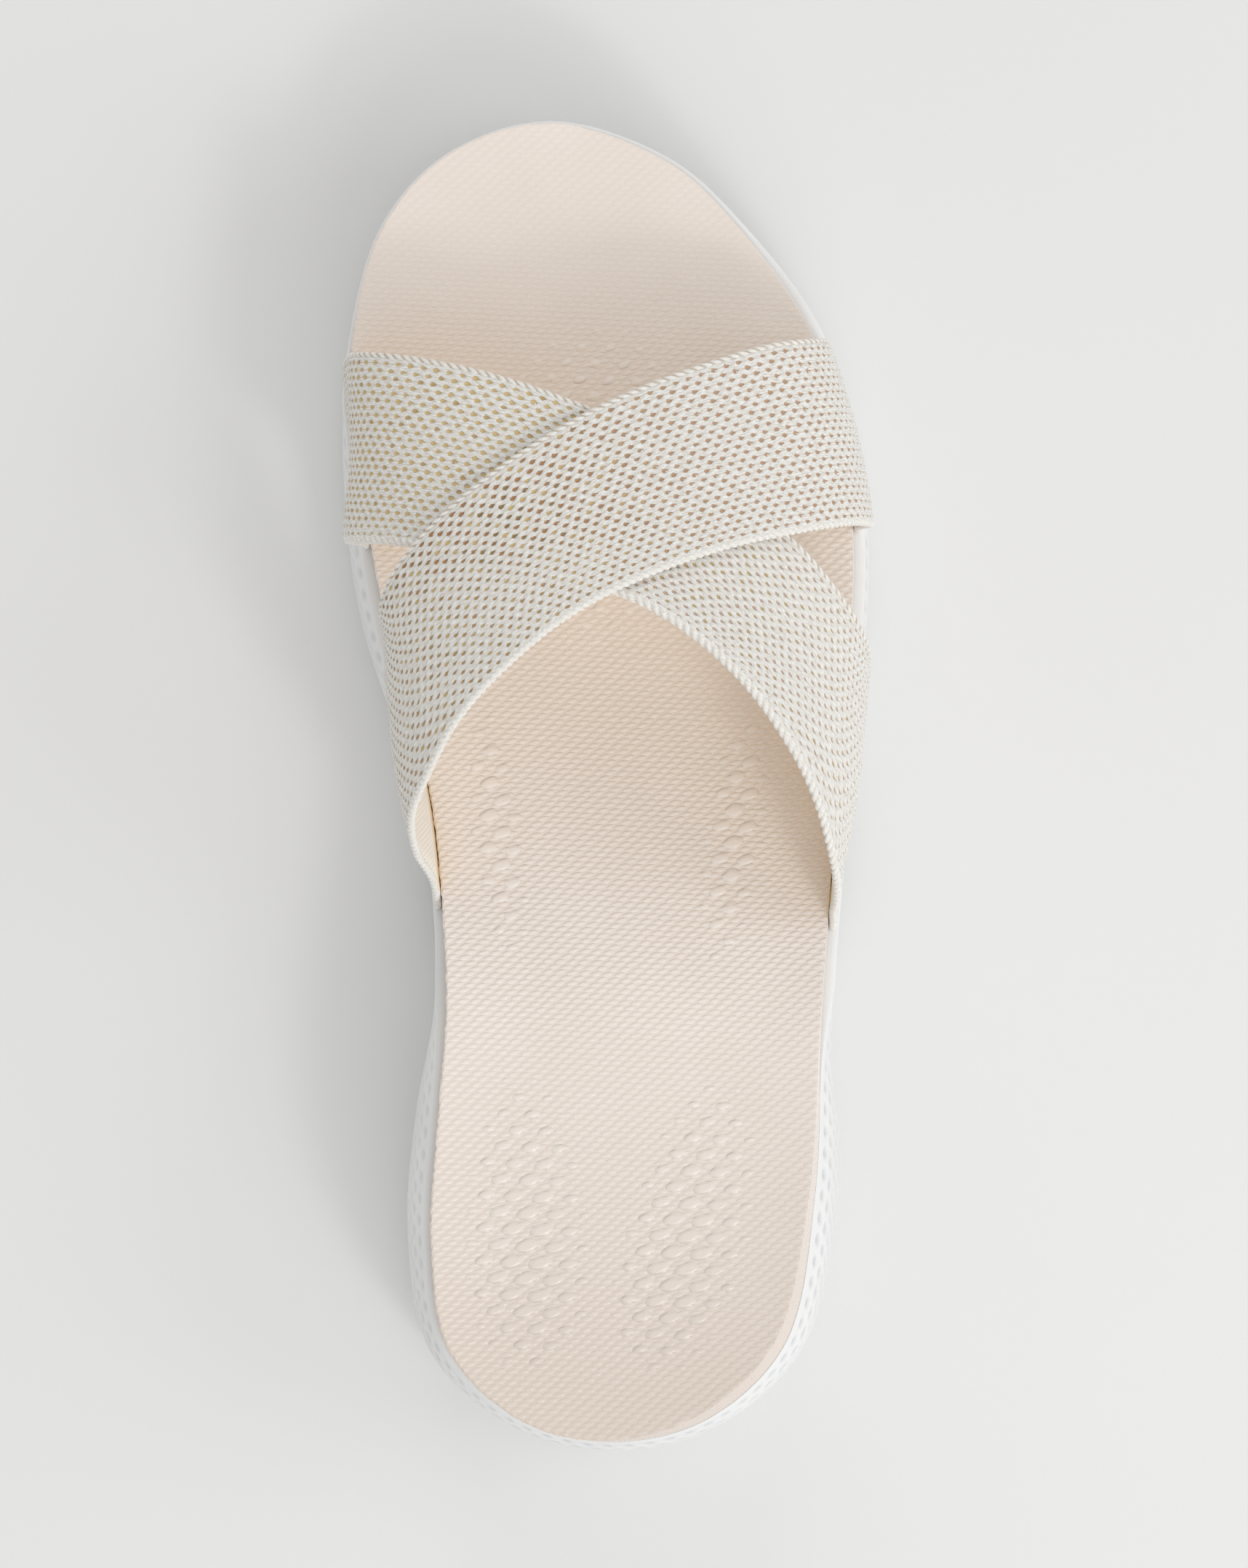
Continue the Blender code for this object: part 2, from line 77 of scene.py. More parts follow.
STRAP_LEDGE_Y = (-60.0, -34.0)               # the ledge widens here to carry the straps
DIMPLE_PITCH, DIMPLE_ROW = 4.2, 3.2
DIMPLE_HALF, DIMPLE_EDGE = (1.25, 1.05), (0.45, 1.15)
DIMPLE_DEPTH = 0.55
DIMPLES_STOP = (7.0, 5.0)                    # from the lower end of the wall up to the last dimples
DIMPLE_PAINTED_SHADE = (0.75, 0.35)                  # painted shade in the dimples on the lateral and the medial side
GROOVES_Y = np.concatenate([np.linspace(-102.0, -52.0, 6), np.linspace(22.0, 56.0, 5)])
GROOVE_WIDTH, GROOVE_DEPTH, GROOVE_MARGIN = 2.6, 1.6, 11.0
GROOVE_LIP, GROOVE_FADE = 0.3, 1.0
# Rings of the top and of the tread, as shares of the way out from the spine
TOP_SHARES = np.array([0.0, 0.5, 0.86])
TREAD_SHARES = np.array([0.97, 0.92, 0.86, 0.8, 0.74, 0.68, 0.6, 0.5, 0.35, 0.2, 0.0])


def ease(value, start, end):
    """Smooth step from 0 at start to 1 at end."""
    share = np.clip((np.asarray(value, float) - start) / (end - start), 0.0, 1.0)
    return share * share * (3.0 - 2.0 * share)


def hermite(u, start, leave, end, arrive):
    """The curve from start, at u 0, to end, at u 1, with the slopes that it leaves and arrives with."""
    return (
        (2 * u**3 - 3 * u**2 + 1) * start
        + (u**3 - 2 * u**2 + u) * leave
        + (3 * u**2 - 2 * u**3) * end
        + (u**3 - u**2) * arrive
    )


def smooth_between(keys, rows, at):
    """A smooth curve through rows at their keys, read at one or many places."""
    keys, rows = np.asarray(keys, float), np.asarray(rows, float)
    slopes = np.gradient(rows, keys, axis=0)
    at = np.clip(np.asarray(at, float), keys[0], keys[-1])
    i = np.clip(np.searchsorted(keys, at, side="right") - 1, 0, len(keys) - 2)
    more = (...,) + (None,) * (rows.ndim - 1)
    span = (keys[i + 1] - keys[i])[more]
    u = (at - keys[i])[more] / span
    return hermite(u, rows[i], span * slopes[i], rows[i + 1], span * slopes[i + 1])


def seat_height(y):
    """Height of the sole's top, which carries the footbed and the ends of the straps."""
    slope = (SEAT_BALL - SEAT_HEEL) * ease(y, SEAT_SLOPE_FROM, BALL_Y)
    spring = (SEAT_TOE - SEAT_BALL) * np.clip((y - BALL_Y) / (TOE_Y - BALL_Y), 0.0, None) ** 2
    return SEAT_HEEL + slope + spring


def tread_height(y):
    """Height of the tread: flat under heel and ball, raised at toe, waist and the back of the heel."""
    toe = TOE_SPRING * np.clip((y - TOE_SPRING_FROM) / (TOE_Y - TOE_SPRING_FROM), 0.0, None) ** 1.8
    heel = HEEL_RISE * np.clip((HEEL_RISE_FROM - y) / HEEL_RISE_RUN, 0.0, None) ** 2
    waist = WAIST_RISE * np.sin(np.pi * np.clip((y - WAIST_FROM) / WAIST_LENGTH, 0.0, 1.0)) ** 2
    return toe + heel + waist


def closed_curve(rows):
    """The footbed's edge as a smooth closed curve."""
    gaps = np.sqrt(np.linalg.norm(np.roll(rows, -1, axis=0)[:, :2] - rows[:, :2], axis=1))
    before, after, beyond = (np.roll(rows, k, axis=0) for k in (1, -1, -2))
    k0, k1, k2 = (np.roll(gaps, k)[:, None] for k in (1, 0, -1))
    leave = ((rows - before) / k0 - (after - before) / (k0 + k1) + (after - rows) / k1) * k1
    arrive = ((after - rows) / k1 - (beyond - rows) / (k1 + k2) + (beyond - after) / k2) * k1
    u = (np.arange(EDGE_STEPS) / EDGE_STEPS)[None, :, None]
    curve = hermite(u, rows[:, None], leave[:, None], after[:, None], arrive[:, None])
    return curve.reshape(-1, rows.shape[1])


edge_curve = closed_curve(EDGE_ROWS)
edge_count = len(edge_curve)
edge_curve = np.vstack([edge_curve, edge_curve[:1]])
heel_tip = int(np.argmin(edge_curve[:, 1]))
edge_sides = {
    "lateral": (edge_curve[: heel_tip + 1, 1][::-1], np.arange(heel_tip + 1)[::-1]),
    "medial": (edge_curve[heel_tip:, 1], np.arange(heel_tip, edge_count + 1)),
}


def read_edge(places):
    """x, y, flare and bevel at places on the footbed's edge."""
    at, counted = places % edge_count, np.arange(edge_count + 1)
    return np.stack([np.interp(at, counted, values) for values in edge_curve.T], axis=-1)


def edge_x(y, side):
    """x of the footbed's edge at y, on its medial or lateral side."""
    return np.interp(np.interp(y, *edge_sides[side]), np.arange(edge_count + 1), edge_curve[:, 0])


# Columns run round the shoe, and each points at a place on the spine between its two sides
stations = np.linspace(TOE_POLE_Y, HEEL_POLE_Y, STATIONS)
lateral, medial = (np.interp(stations, *edge_sides[side]) for side in ("lateral", "medial"))
places = np.concatenate([
    lateral,
    np.linspace(lateral[-1], medial[-1], HEEL_POINTS + 2)[1:-1],
    medial[::-1],
    np.linspace(medial[0], lateral[0] + edge_count, TOE_POINTS + 2)[1:-1],
])
places = np.append(places, places[0] + edge_count)
column_edge = read_edge(places)
spine_stations = np.concatenate([
    np.arange(STATIONS), np.full(HEEL_POINTS, STATIONS - 1), np.arange(STATIONS)[::-1],
    np.zeros(TOE_POINTS, int), [0],
])
column_spine = ((read_edge(lateral) + read_edge(medial)) / 2)[spine_stations, :2]
column_along = (read_edge(places + 2.0) - read_edge(places - 2.0))[:, :2]
column_out = np.stack([-column_along[:, 1], column_along[:, 0]], axis=1)
column_out /= np.linalg.norm(column_out, axis=1, keepdims=True)


def ring(out):
    """The footbed's edge moved outwards."""
    return column_edge[:, :2] + column_out * np.broadcast_to(out, len(column_edge))[:, None]


def drawn_in(points, share):
    """A ring drawn in towards the spine: share is 1 at the ring and 0 on the spine."""
    return column_spine + (points - column_spine) * np.asarray(share)[..., None]


def all_round(shares):
    """Shares of the way out from the spine, the same in every column."""
    return shares[:, None] * np.ones(len(column_edge))


def with_height(points, height):
    """Points of the plan with their heights."""
    return np.concatenate([points, np.broadcast_to(height, points.shape[:-1])[..., None]], axis=-1)


def outward(surface):
    """Unit normals of a surface whose last column is its first one again."""
    surface = np.concatenate([surface[:, -2:-1], surface, surface[:, 1:2]], axis=1)
    normal = np.cross(np.gradient(surface, axis=1), np.gradient(surface, axis=0))[:, 1:-1]
    return normal / np.maximum(np.linalg.norm(normal, axis=-1, keepdims=True), 1e-9)


def lay_grid(name, surface):
    """A grid laid on rows and columns of points, and the row and column of each face's corners."""
    rows, columns = surface.shape[0] - 1, surface.shape[1] - 1
    bm = bmesh.new()
    bmesh.ops.create_grid(bm, x_segments=columns, y_segments=rows, size=0.5)
    mesh = bpy.data.meshes.new(name)
    bm.to_mesh(mesh)
    bm.free()
    flat = np.empty(len(mesh.vertices) * 3)
    mesh.vertices.foreach_get("co", flat)
    flat = flat.reshape(-1, 3)
    column = np.rint((flat[:, 0] - flat[:, 0].min()) / np.ptp(flat[:, 0]) * columns).astype(int)
    row = np.rint((flat[:, 1] - flat[:, 1].min()) / np.ptp(flat[:, 1]) * rows).astype(int)
    mesh.vertices.foreach_set("co", ((surface[row, column] - BOX_MIDDLE) * MM).ravel())
    corner = np.empty(len(mesh.loops), int)
    mesh.loops.foreach_get("vertex_index", corner)
    return mesh, row[corner].reshape(-1, 4), column[corner].reshape(-1, 4)


def add_layer(mesh, name, kind, values):
    """A UV map or an attribute with a value at each corner of each face."""
    if kind == "UV":
        mesh.uv_layers.new(name=name).uv.foreach_set("vector", np.ravel(values))
    else:
        field = "color" if kind == "FLOAT_COLOR" else "value"
        mesh.attributes.new(name, kind, "CORNER").data.foreach_set(field, np.ravel(values))


def make_piece(name, mesh, materials, node):
    """Welds a laid grid into a closed piece, turns its faces outwards and gives it to the sandal."""
    bm = bmesh.new()
    bm.from_mesh(mesh)
    bmesh.ops.remove_doubles(bm, verts=bm.verts, dist=2e-6)
    bmesh.ops.holes_fill(bm, edges=bm.edges, sides=0)
    bmesh.ops.recalc_face_normals(bm, faces=bm.faces)
    bm.to_mesh(mesh)
    bm.free()
    mesh.shade_smooth()
    for material in materials:
        mesh.materials.append(material)
    piece = bpy.data.objects.new(name, mesh)
    bpy.context.collection.objects.link(piece)
    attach(piece, "root")
    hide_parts(node)
    return piece


def linear(code):
    """A linear colour from an sRGB hex value."""
    parts = [int(code[k : k + 2], 16) / 255 for k in (1, 3, 5)]
    return (*(c / 12.92 if c <= 0.04045 else ((c + 0.055) / 1.055) ** 2.4 for c in parts), 1.0)


def new_material(name):
    """A material with no nodes yet."""
    material = bpy.data.materials.new(name)
    material.use_nodes = True
    material.node_tree.nodes.clear()
    return material


def add(material, kind, feeds, **settings):
    """Adds a node with its settings, the stops of its colours among them, and links or sets its sockets."""
    node = material.node_tree.nodes.new("ShaderNode" + kind)
    for i, (position, code) in enumerate(settings.pop("stops", ())):
        node.color_ramp.elements[i].position = position
        node.color_ramp.elements[i].color = linear(code)
    for name, value in settings.items():
        setattr(node, name, value)
    for socket, value in feeds.items():
        if isinstance(value, bpy.types.NodeSocket):
            material.node_tree.links.new(value, node.inputs[socket])
        else:
            node.inputs[socket].default_value = value
    return node.outputs


# Side: a smooth section through the rings, then dimples pressed in along its normals
carries_strap = ease(column_edge[:, 1], *STRAP_LEDGE_Y)
heel_rim = HEEL_RIMS[0] + (HEEL_RIMS[1] - HEEL_RIMS[0]) * ease(-column_out[:, 0], 0.2, 0.9)
rim = np.minimum(heel_rim + (RIM_WIDTH - heel_rim) * carries_strap, RIM_SHARE * column_edge[:, 2])
side_rings = []
for rim_share, flare_share, inset, up, lift in SIDE_RINGS:
    points = ring(rim_share * rim + flare_share * (column_edge[:, 2] - rim) - inset)
    tread = tread_height(points[:, 1])
    side_rings.append(with_height(points, tread + (seat_height(column_edge[:, 1]) - tread) * up + lift))
side_rings = np.array(side_rings)
ring_keys = np.append(0.0, np.cumsum(np.linalg.norm(np.diff(side_rings, axis=0), axis=2).mean(axis=1)))
row_keys = [np.linspace(a, b, n, endpoint=False) for a, b, n in zip(ring_keys, ring_keys[1:], ROWS_PER_RING)]
row_keys = np.concatenate(row_keys + [ring_keys[-1:]])
side = smooth_between(ring_keys, side_rings, row_keys)
wall_from, wall_to = sum(ROWS_PER_RING[:WALL_FROM_RING]), sum(ROWS_PER_RING[:WALL_TO_RING])
side_steps = np.linalg.norm(np.diff(side, axis=0), axis=2)
down = np.append(np.zeros((1, side.shape[1])), np.cumsum(side_steps, axis=0), axis=0)
down -= down[wall_from]
wall_end = down[wall_to]
belly = np.linalg.norm(np.diff(side_rings[BELLY_RING], axis=0), axis=1)
dimples_round = round(belly.sum() / DIMPLE_PITCH)
step_round = np.append(0.0, np.cumsum(belly)) / belly.sum() * dimples_round
dimple_row = np.floor(down / DIMPLE_ROW)
step_round = step_round + 0.5 * (dimple_row % 2)
off_round = (step_round % 1.0 - 0.5) * DIMPLE_PITCH
off_down = (down / DIMPLE_ROW - dimple_row - 0.5) * DIMPLE_ROW
dimple = 1.0 - ease(np.hypot(off_round / DIMPLE_HALF[0], off_down / DIMPLE_HALF[1]), *DIMPLE_EDGE)
stop_from, stop_at = (wall_end - up for up in DIMPLES_STOP)
dimple *= (down > 0.0) * (1.0 - ease(dimple_row * DIMPLE_ROW, stop_from, stop_at))
side -= outward(side) * (DIMPLE_DEPTH * dimple)[..., None]

# Top and tread: rings drawn in to the spine, with the flex grooves let into the tread
top = drawn_in(ring(0.0)[None], all_round(TOP_SHARES))
top = with_height(top, seat_height(top[..., 1]))
tread = drawn_in(side_rings[-1][None, :, :2], all_round(TREAD_SHARES))
from_groove = np.abs(tread[..., 1, None] - GROOVES_Y).min(axis=-1)
in_groove = 1.0 - ease(from_groove, GROOVE_WIDTH / 2 - GROOVE_LIP, GROOVE_WIDTH / 2 + GROOVE_LIP)
from_margin = np.minimum(
    tread[..., 0] - edge_x(tread[..., 1], "medial"), edge_x(tread[..., 1], "lateral") - tread[..., 0]
) - GROOVE_MARGIN
in_groove *= ease(from_margin, -GROOVE_FADE, GROOVE_FADE)
tread = with_height(tread, tread_height(tread[..., 1]) + GROOVE_DEPTH * in_groove)

# Moulded EVA foam: a soft white skin, faintly grained, with a low broad gloss, and painted shade giving a
# greyer tone in its dimples
eva_foam = new_material("white_moulded_eva_foam")
place = add(eva_foam, "TexCoord", {})["Object"]
skin_grain = add(eva_foam, "TexNoise", {"Vector": place, "Scale": 1 / (0.6 * MM), "Detail": 3.0})["Fac"]
cloud = add(eva_foam, "TexNoise", {"Vector": place, "Scale": 1 / (14 * MM), "Detail": 2.0})["Fac"]
tone = add(eva_foam, "ValToRGB", {"Fac": cloud}, stops=((0.3, "#eaebeb"), (0.7, "#efefee")))[0]
# Painted shade: the dimples are mixed towards grey
sunk = add(eva_foam, "Attribute", {}, attribute_name="dimples")["Fac"]
colour = add(eva_foam, "Mix", {0: sunk, 6: tone, 7: linear("#c9cacc")}, data_type="RGBA")[2]
gloss = add(eva_foam, "MapRange", {"Value": skin_grain, "To Min": 0.46, "To Max": 0.62})[0]
relief = add(eva_foam, "Bump", {"Height": skin_grain, "Strength": 0.25, "Distance": 0.06 * MM})[0]
skin = add(eva_foam, "BsdfPrincipled", {
    "Base Color": colour, "Roughness": gloss, "Normal": relief, "IOR": 1.48, "Specular IOR Level": 0.4,
})[0]
add(eva_foam, "OutputMaterial", {"Surface": skin})

sole_mesh, sole_row, sole_column = lay_grid("sole_skin", np.concatenate([top, side, tread]))
# Painted shade in the dimples, weaker on the medial side, which already lies in shade
dimple_painted_shade = DIMPLE_PAINTED_SHADE[0] + (DIMPLE_PAINTED_SHADE[1] - DIMPLE_PAINTED_SHADE[0]) * ease(-column_out[:, 0], 0.3, 0.9)
dimple_painted_shade = np.concatenate([np.zeros_like(top[..., 0]), dimple_painted_shade * dimple, np.zeros_like(tread[..., 0])])
add_layer(sole_mesh, "dimples", "FLOAT", dimple_painted_shade[sole_row, sole_column])
make_piece("sole_moulding", sole_mesh, [eva_foam], "sole")

# Footbed
# A cream foam pad, die-cut and bonded onto the sole inside the ledge. Its wall is skived, most of all at the
# back of the heel, and its top is embossed with small dashes, and with raised diamonds under heel, arch and
# ball.
SEAM_GAP, PAD_THICKNESS, PAD_EDGE_RADIUS = 0.3, 5.0, 0.2
HEEL_CUP, TOE_CUP = 2.0, 0.4
PAD_ROWS, PAD_EDGE_STEPS, PAD_WALL_STEPS = 56, 4, 7
BURR = 0.25
DASH_PITCH, DASH_ROW, DASH_HALF = 2.26, 1.03, (1.12, 0.45)
DIAMOND_PITCH, DIAMOND_ROW, DIAMOND_HALF = 5.5, 3.1, (2.45, 1.3)
OVAL_LEAN = math.radians(16.0)
EMBOSS_HEIGHT = 0.38
EMBOSS_TILT = math.radians(-2.5)
# Fields of diamonds: middle x, y, half width, reach forwards, reach backwards, lean, size of the largest
DIAMOND_FIELDS = np.array([
    (-18.0, -91.0, 12.5, 38.0, 22.0, -0.03, 1.0), (10.5, -91.0, 12.5, 38.0, 22.0, 0.21, 1.0),
    (-24.0, -9.0, 5.4, 27.0, 27.0, -0.13, 0.9), (21.0, -9.0, 6.0, 29.0, 29.0, 0.14, 0.9),
    (-5.0, 55.0, 26.0, 36.0, 32.0, 0.0, 0.75),
])


def pad_height(share, y):
    """Height of the footbed's top. share is 0 on the spine and 1 at the rim, which is cupped."""
    cup = TOE_CUP + (HEEL_CUP - TOE_CUP) * (1.0 - ease(y, HEEL_POLE_Y, BALL_Y))
    return seat_height(y) + SEAM_GAP + PAD_THICKNESS + cup * share**3


def diamond_size(x, y):
    """Size of the diamonds at a place on the footbed's top, 0 where there are none."""
    at_x, at_y, half, ahead, behind, lean, largest = DIAMOND_FIELDS.T
    off_x, off_y = x[..., None] - at_x, y[..., None] - at_y
    far = ((off_x - lean * off_y) / half) ** 2 + (off_y / np.where(off_y > 0.0, ahead, behind)) ** 2
    return (np.clip(1.0 - far, 0.0, 1.0) ** 0.5 * largest).max(axis=-1)


bevel = column_edge[:, 3]
burr = BURR * np.random.default_rng(11).random(len(column_edge)) * (column_edge[:, 0] < column_spine[:, 0])
burr[-1] = burr[0]
lip = ring(-bevel - PAD_EDGE_RADIUS)
rim_height = pad_height(1.0, column_edge[:, 1])
base_height = seat_height(column_edge[:, 1]) + SEAM_GAP
pad_shares = all_round(np.linspace(0.0, 1.0, PAD_ROWS + 1))
pad_top = drawn_in(lip[None], pad_shares)
diamonds = diamond_size(pad_top[..., 0], pad_top[..., 1])
pad_top = with_height(pad_top, pad_height(pad_shares, pad_top[..., 1]))
pad_edge = np.array([
    with_height(
        ring(burr * math.sin(a) - bevel - PAD_EDGE_RADIUS * (1.0 - math.sin(a))),
        rim_height - PAD_EDGE_RADIUS * (1.0 - math.cos(a)),
    )
    for a in np.linspace(0.0, math.pi / 2, PAD_EDGE_STEPS + 1)[1:]
])
pad_wall = np.array([
    with_height(ring(-bevel * (1.0 - s)), (rim_height - PAD_EDGE_RADIUS) * (1.0 - s) + base_height * s)
    for s in np.linspace(0.0, 1.0, PAD_WALL_STEPS + 1)[1:]
])
pad_under = drawn_in(ring(0.0)[None], all_round(np.array([0.5, 0.0])))
pad_under = with_height(pad_under, seat_height(pad_under[..., 1]) + SEAM_GAP)
pad_points = np.concatenate([pad_top, pad_edge, pad_wall, pad_under])

# The dashes stand lower at the heel, lower still at the toe, and only on the top
top_y = pad_top[..., 1]
not_on_top = np.zeros((len(pad_points) - len(pad_top), len(column_edge)))
embossed = 0.9 + 0.3 * ease(top_y, -60.0, -30.0) - 0.72 * ease(top_y, 66.0, 100.0)
embossed, diamonds = (np.concatenate([values, not_on_top]) for values in (embossed, diamonds))

# Embossed foam with a leathery skin: satin cream. Painted shade makes it faintly pinker and darker in the
# hollows of its pattern, and darker towards the back of the heel, where the cup turns away from the light
foam_skin = new_material("cream_embossed_foam")
place = add(foam_skin, "TexCoord", {})["Object"]
emboss_place = add(foam_skin, "Mapping", {
    "Vector": place, "Rotation": (0.0, 0.0, -EMBOSS_TILT), "Scale": (1 / MM,) * 3,
})[0]


def oval_cells(material, place, pitch, row, half):
    """Leaning ovals in staggered rows: a place from the middle of its oval, in the oval's own half axes."""
    at = add(material, "SeparateXYZ", {0: place})
    row_at = add(material, "Math", {0: at[1], 1: 1 / row}, operation="MULTIPLY")[0]
    odd_row = add(material, "Math", {0: row_at}, operation="ROUND")[0]
    odd_row = add(material, "Math", {0: odd_row, 1: 1.0}, operation="PINGPONG")[0]
    step_at = add(material, "Math", {0: at[0], 1: 1 / pitch}, operation="MULTIPLY")[0]
    step_at = add(material, "Math", {0: odd_row, 1: 0.5, 2: step_at}, operation="MULTIPLY_ADD")[0]
    off_row = add(material, "Math", {0: row_at, 1: 0.5, 2: -0.5}, operation="WRAP")[0]
    off_step = add(material, "Math", {0: step_at, 1: 0.5, 2: -0.5}, operation="WRAP")[0]
    off = add(material, "CombineXYZ", {0: off_step, 1: off_row})[0]
    off = add(material, "VectorMath", {0: off, 1: (pitch, row, 1.0)}, operation="MULTIPLY")[0]
    return add(material, "Mapping", {
        "Vector": off, "Rotation": (0.0, 0.0, OVAL_LEAN), "Scale": (half[0], half[1], 1.0),
    }, vector_type="TEXTURE")[0]


# Small dashes everywhere on the top, a little out of line, and larger diamonds in their fields
wander = add(foam_skin, "TexNoise", {"Vector": emboss_place, "Scale": 0.3, "Detail": 1.0})["Color"]
dash_place = add(foam_skin, "VectorMath", {
    0: wander, 1: (0.6, 0.4, 0.0), 2: emboss_place,
}, operation="MULTIPLY_ADD")[0]
own = oval_cells(foam_skin, dash_place, DASH_PITCH, DASH_ROW, DASH_HALF)
reach = add(foam_skin, "VectorMath", {0: own}, operation="LENGTH")["Value"]
fall = add(foam_skin, "MapRange", {"Value": reach, "From Min": 0.15, "From Max": 1.0})[0]
dash = add(foam_skin, "Math", {0: fall, 1: fall}, operation="MULTIPLY")[0]
dash = add(foam_skin, "MapRange", {"Value": dash, "To Min": 0.28, "To Max": 0.0})[0]
raised = add(foam_skin, "Attribute", {}, attribute_name="embossed")["Fac"]
dash = add(foam_skin, "Math", {0: dash, 1: raised}, operation="MULTIPLY")[0]
own = oval_cells(foam_skin, emboss_place, DIAMOND_PITCH, DIAMOND_ROW, DIAMOND_HALF)
reach = add(foam_skin, "VectorMath", {0: own}, operation="LENGTH")["Value"]
size = add(foam_skin, "Attribute", {}, attribute_name="diamonds")["Fac"]
past = add(foam_skin, "Math", {0: reach, 1: size}, operation="SUBTRACT")[0]
fall = add(foam_skin, "MapRange", {"Value": past, "From Min": -0.6, "From Max": 0.0})[0]
fall = add(foam_skin, "Math", {0: fall, 1: fall}, operation="MULTIPLY")[0]
diamond = add(foam_skin, "Math", {0: 1.0, 1: fall}, operation="SUBTRACT")[0]
stands = add(foam_skin, "MapRange", {"Value": size, "From Min": 0.15, "From Max": 0.6})[0]
diamond = add(foam_skin, "Math", {0: diamond, 1: stands}, operation="MULTIPLY")[0]
back = add(foam_skin, "SeparateXYZ", {0: own})[1]
rise = add(foam_skin, "Math", {0: back, 1: -0.16, 2: 0.9}, operation="MULTIPLY_ADD")[0]
height = add(foam_skin, "Mix", {0: diamond, 2: dash, 3: rise})[0]
pores = add(foam_skin, "TexNoise", {"Vector": place, "Scale": 1 / (0.35 * MM), "Detail": 2.0})["Fac"]
cloud = add(foam_skin, "TexNoise", {"Vector": place, "Scale": 1 / (18 * MM), "Detail": 3.0})["Fac"]
tone = add(foam_skin, "ValToRGB", {"Fac": cloud}, stops=((0.3, "#f5ece4"), (0.7, "#f8f0e9")))[0]
# Painted shade: towards the back of the heel the cream is darkened, standing in for the shade of the heel
# cup
heel = add(foam_skin, "SeparateXYZ", {0: emboss_place})[1]
heel = add(foam_skin, "MapRange", {"Value": heel, "From Min": -45.0, "From Max": -112.0, "To Max": 0.72})[0]
heel_painted_shade = add(foam_skin, "Mix", {0: heel, 6: tone, 7: linear("#d8cabe")}, data_type="RGBA")[2]
# Painted shade: the lower the emboss, the pinker and darker the cream, so the dashes' hollows are darkest
# and the diamonds' tops are untouched
hollow = add(foam_skin, "MapRange", {"Value": height, "From Max": 0.4, "To Min": 0.25, "To Max": 0.0})[0]
colour = add(foam_skin, "Mix", {0: hollow, 6: heel_painted_shade, 7: linear("#dfcdbf")}, data_type="RGBA")[2]
gloss = add(foam_skin, "MapRange", {"Value": pores, "To Min": 0.23, "To Max": 0.33})[0]
relief = add(foam_skin, "Bump", {"Height": height, "Strength": 1.0, "Distance": EMBOSS_HEIGHT * MM})[0]
relief = add(foam_skin, "Bump", {
    "Height": pores, "Strength": 0.2, "Distance": 0.05 * MM, "Normal": relief,
})[0]
skin = add(foam_skin, "BsdfPrincipled", {
    "Base Color": colour, "Roughness": gloss, "Normal": relief, "IOR": 1.48, "Specular IOR Level": 0.5,
})[0]
add(foam_skin, "OutputMaterial", {"Surface": skin})

pad_mesh, pad_row, pad_column = lay_grid("footbed_skin", pad_points)
add_layer(pad_mesh, "embossed", "FLOAT", embossed[pad_row, pad_column])
add_layer(pad_mesh, "diamonds", "FLOAT", diamonds[pad_row, pad_column])
footbed_pad = make_piece("footbed_pad", pad_mesh, [foam_skin], "footbed")

# Straps
# Two bands of white knit with brown and gold thread showing in its eyelets, each backed by a thin twill
# lining. They are lasted over the instep and crossed, and their ends are bonded to the sole's ledge beside
# the footbed.
STRAP_THICKNESS = 1.5
SEAM_OFFSET = 0.12
STITCH_PITCH, STITCH_ROW = 2.5, 1.4
STITCH_COLUMNS, STITCH_ROWS = 8, 6          # faces along and across one stitch
LINING_ROWS = 14
SELVEDGE_INSET = 1.3
EYELET_HALF = (0.67, 0.43)
EYELET_DEPTH = 0.3
YARN_SWELL = 0.14
GLINT_FROM = 0.87                            # chance from which a stitch has a glossy fleck with a painted highlight
EDGE_SECTION = np.array([(0.85, 1.1), (0.7, 0.7), (0.85, 0.3), (1.3, 0.0)])   # inset, depth
FOOT_PAINTED_WARM_SHADE = (7.2, 9.8)                     # where the lining's painted golden shade ends, counted from the strap's end
MIDDLE_POINTS, EVENED_POINTS = 1501, 227
SLANT_FADE = 24.0
FOOT_SINK = 0.27
MEDIAL_BULGE, LATERAL_BULGE, SWELL_SHARE = 5.0, 7.0, 0.3
SWELL_PEAK = 27 / 4                          # brings the curve of the swell to 1 at its highest
# How far from either seam, as shares of the way over, the feet stay upright, level and sunk
UPRIGHT_FEET, LEVEL_FEET, SUNK_FEET = (0.015, 0.1), (0.0, 0.06), (0.0, 0.012)
RIDGE_SHIFT, ROUNDNESS = -5.0, 0.9
# The last: y, height of the instep above the seat, swell of its medial and lateral sides
LAST = np.array([
    (-40.0, 66.0, 0.0, -2.0), (-20.0, 64.0, 0.0, -2.2), (0.0, 60.5, 2.3, 0.0), (15.0, 56.5, 0.4, 0.4),
    (30.0, 51.0, -2.0, 0.6), (45.0, 45.5, 1.8, 0.5), (60.0, 41.0, -1.0, 0.0), (80.0, 35.5, -2.5, -1.0),
    (95.0, 32.0, -2.5, -1.0),
])
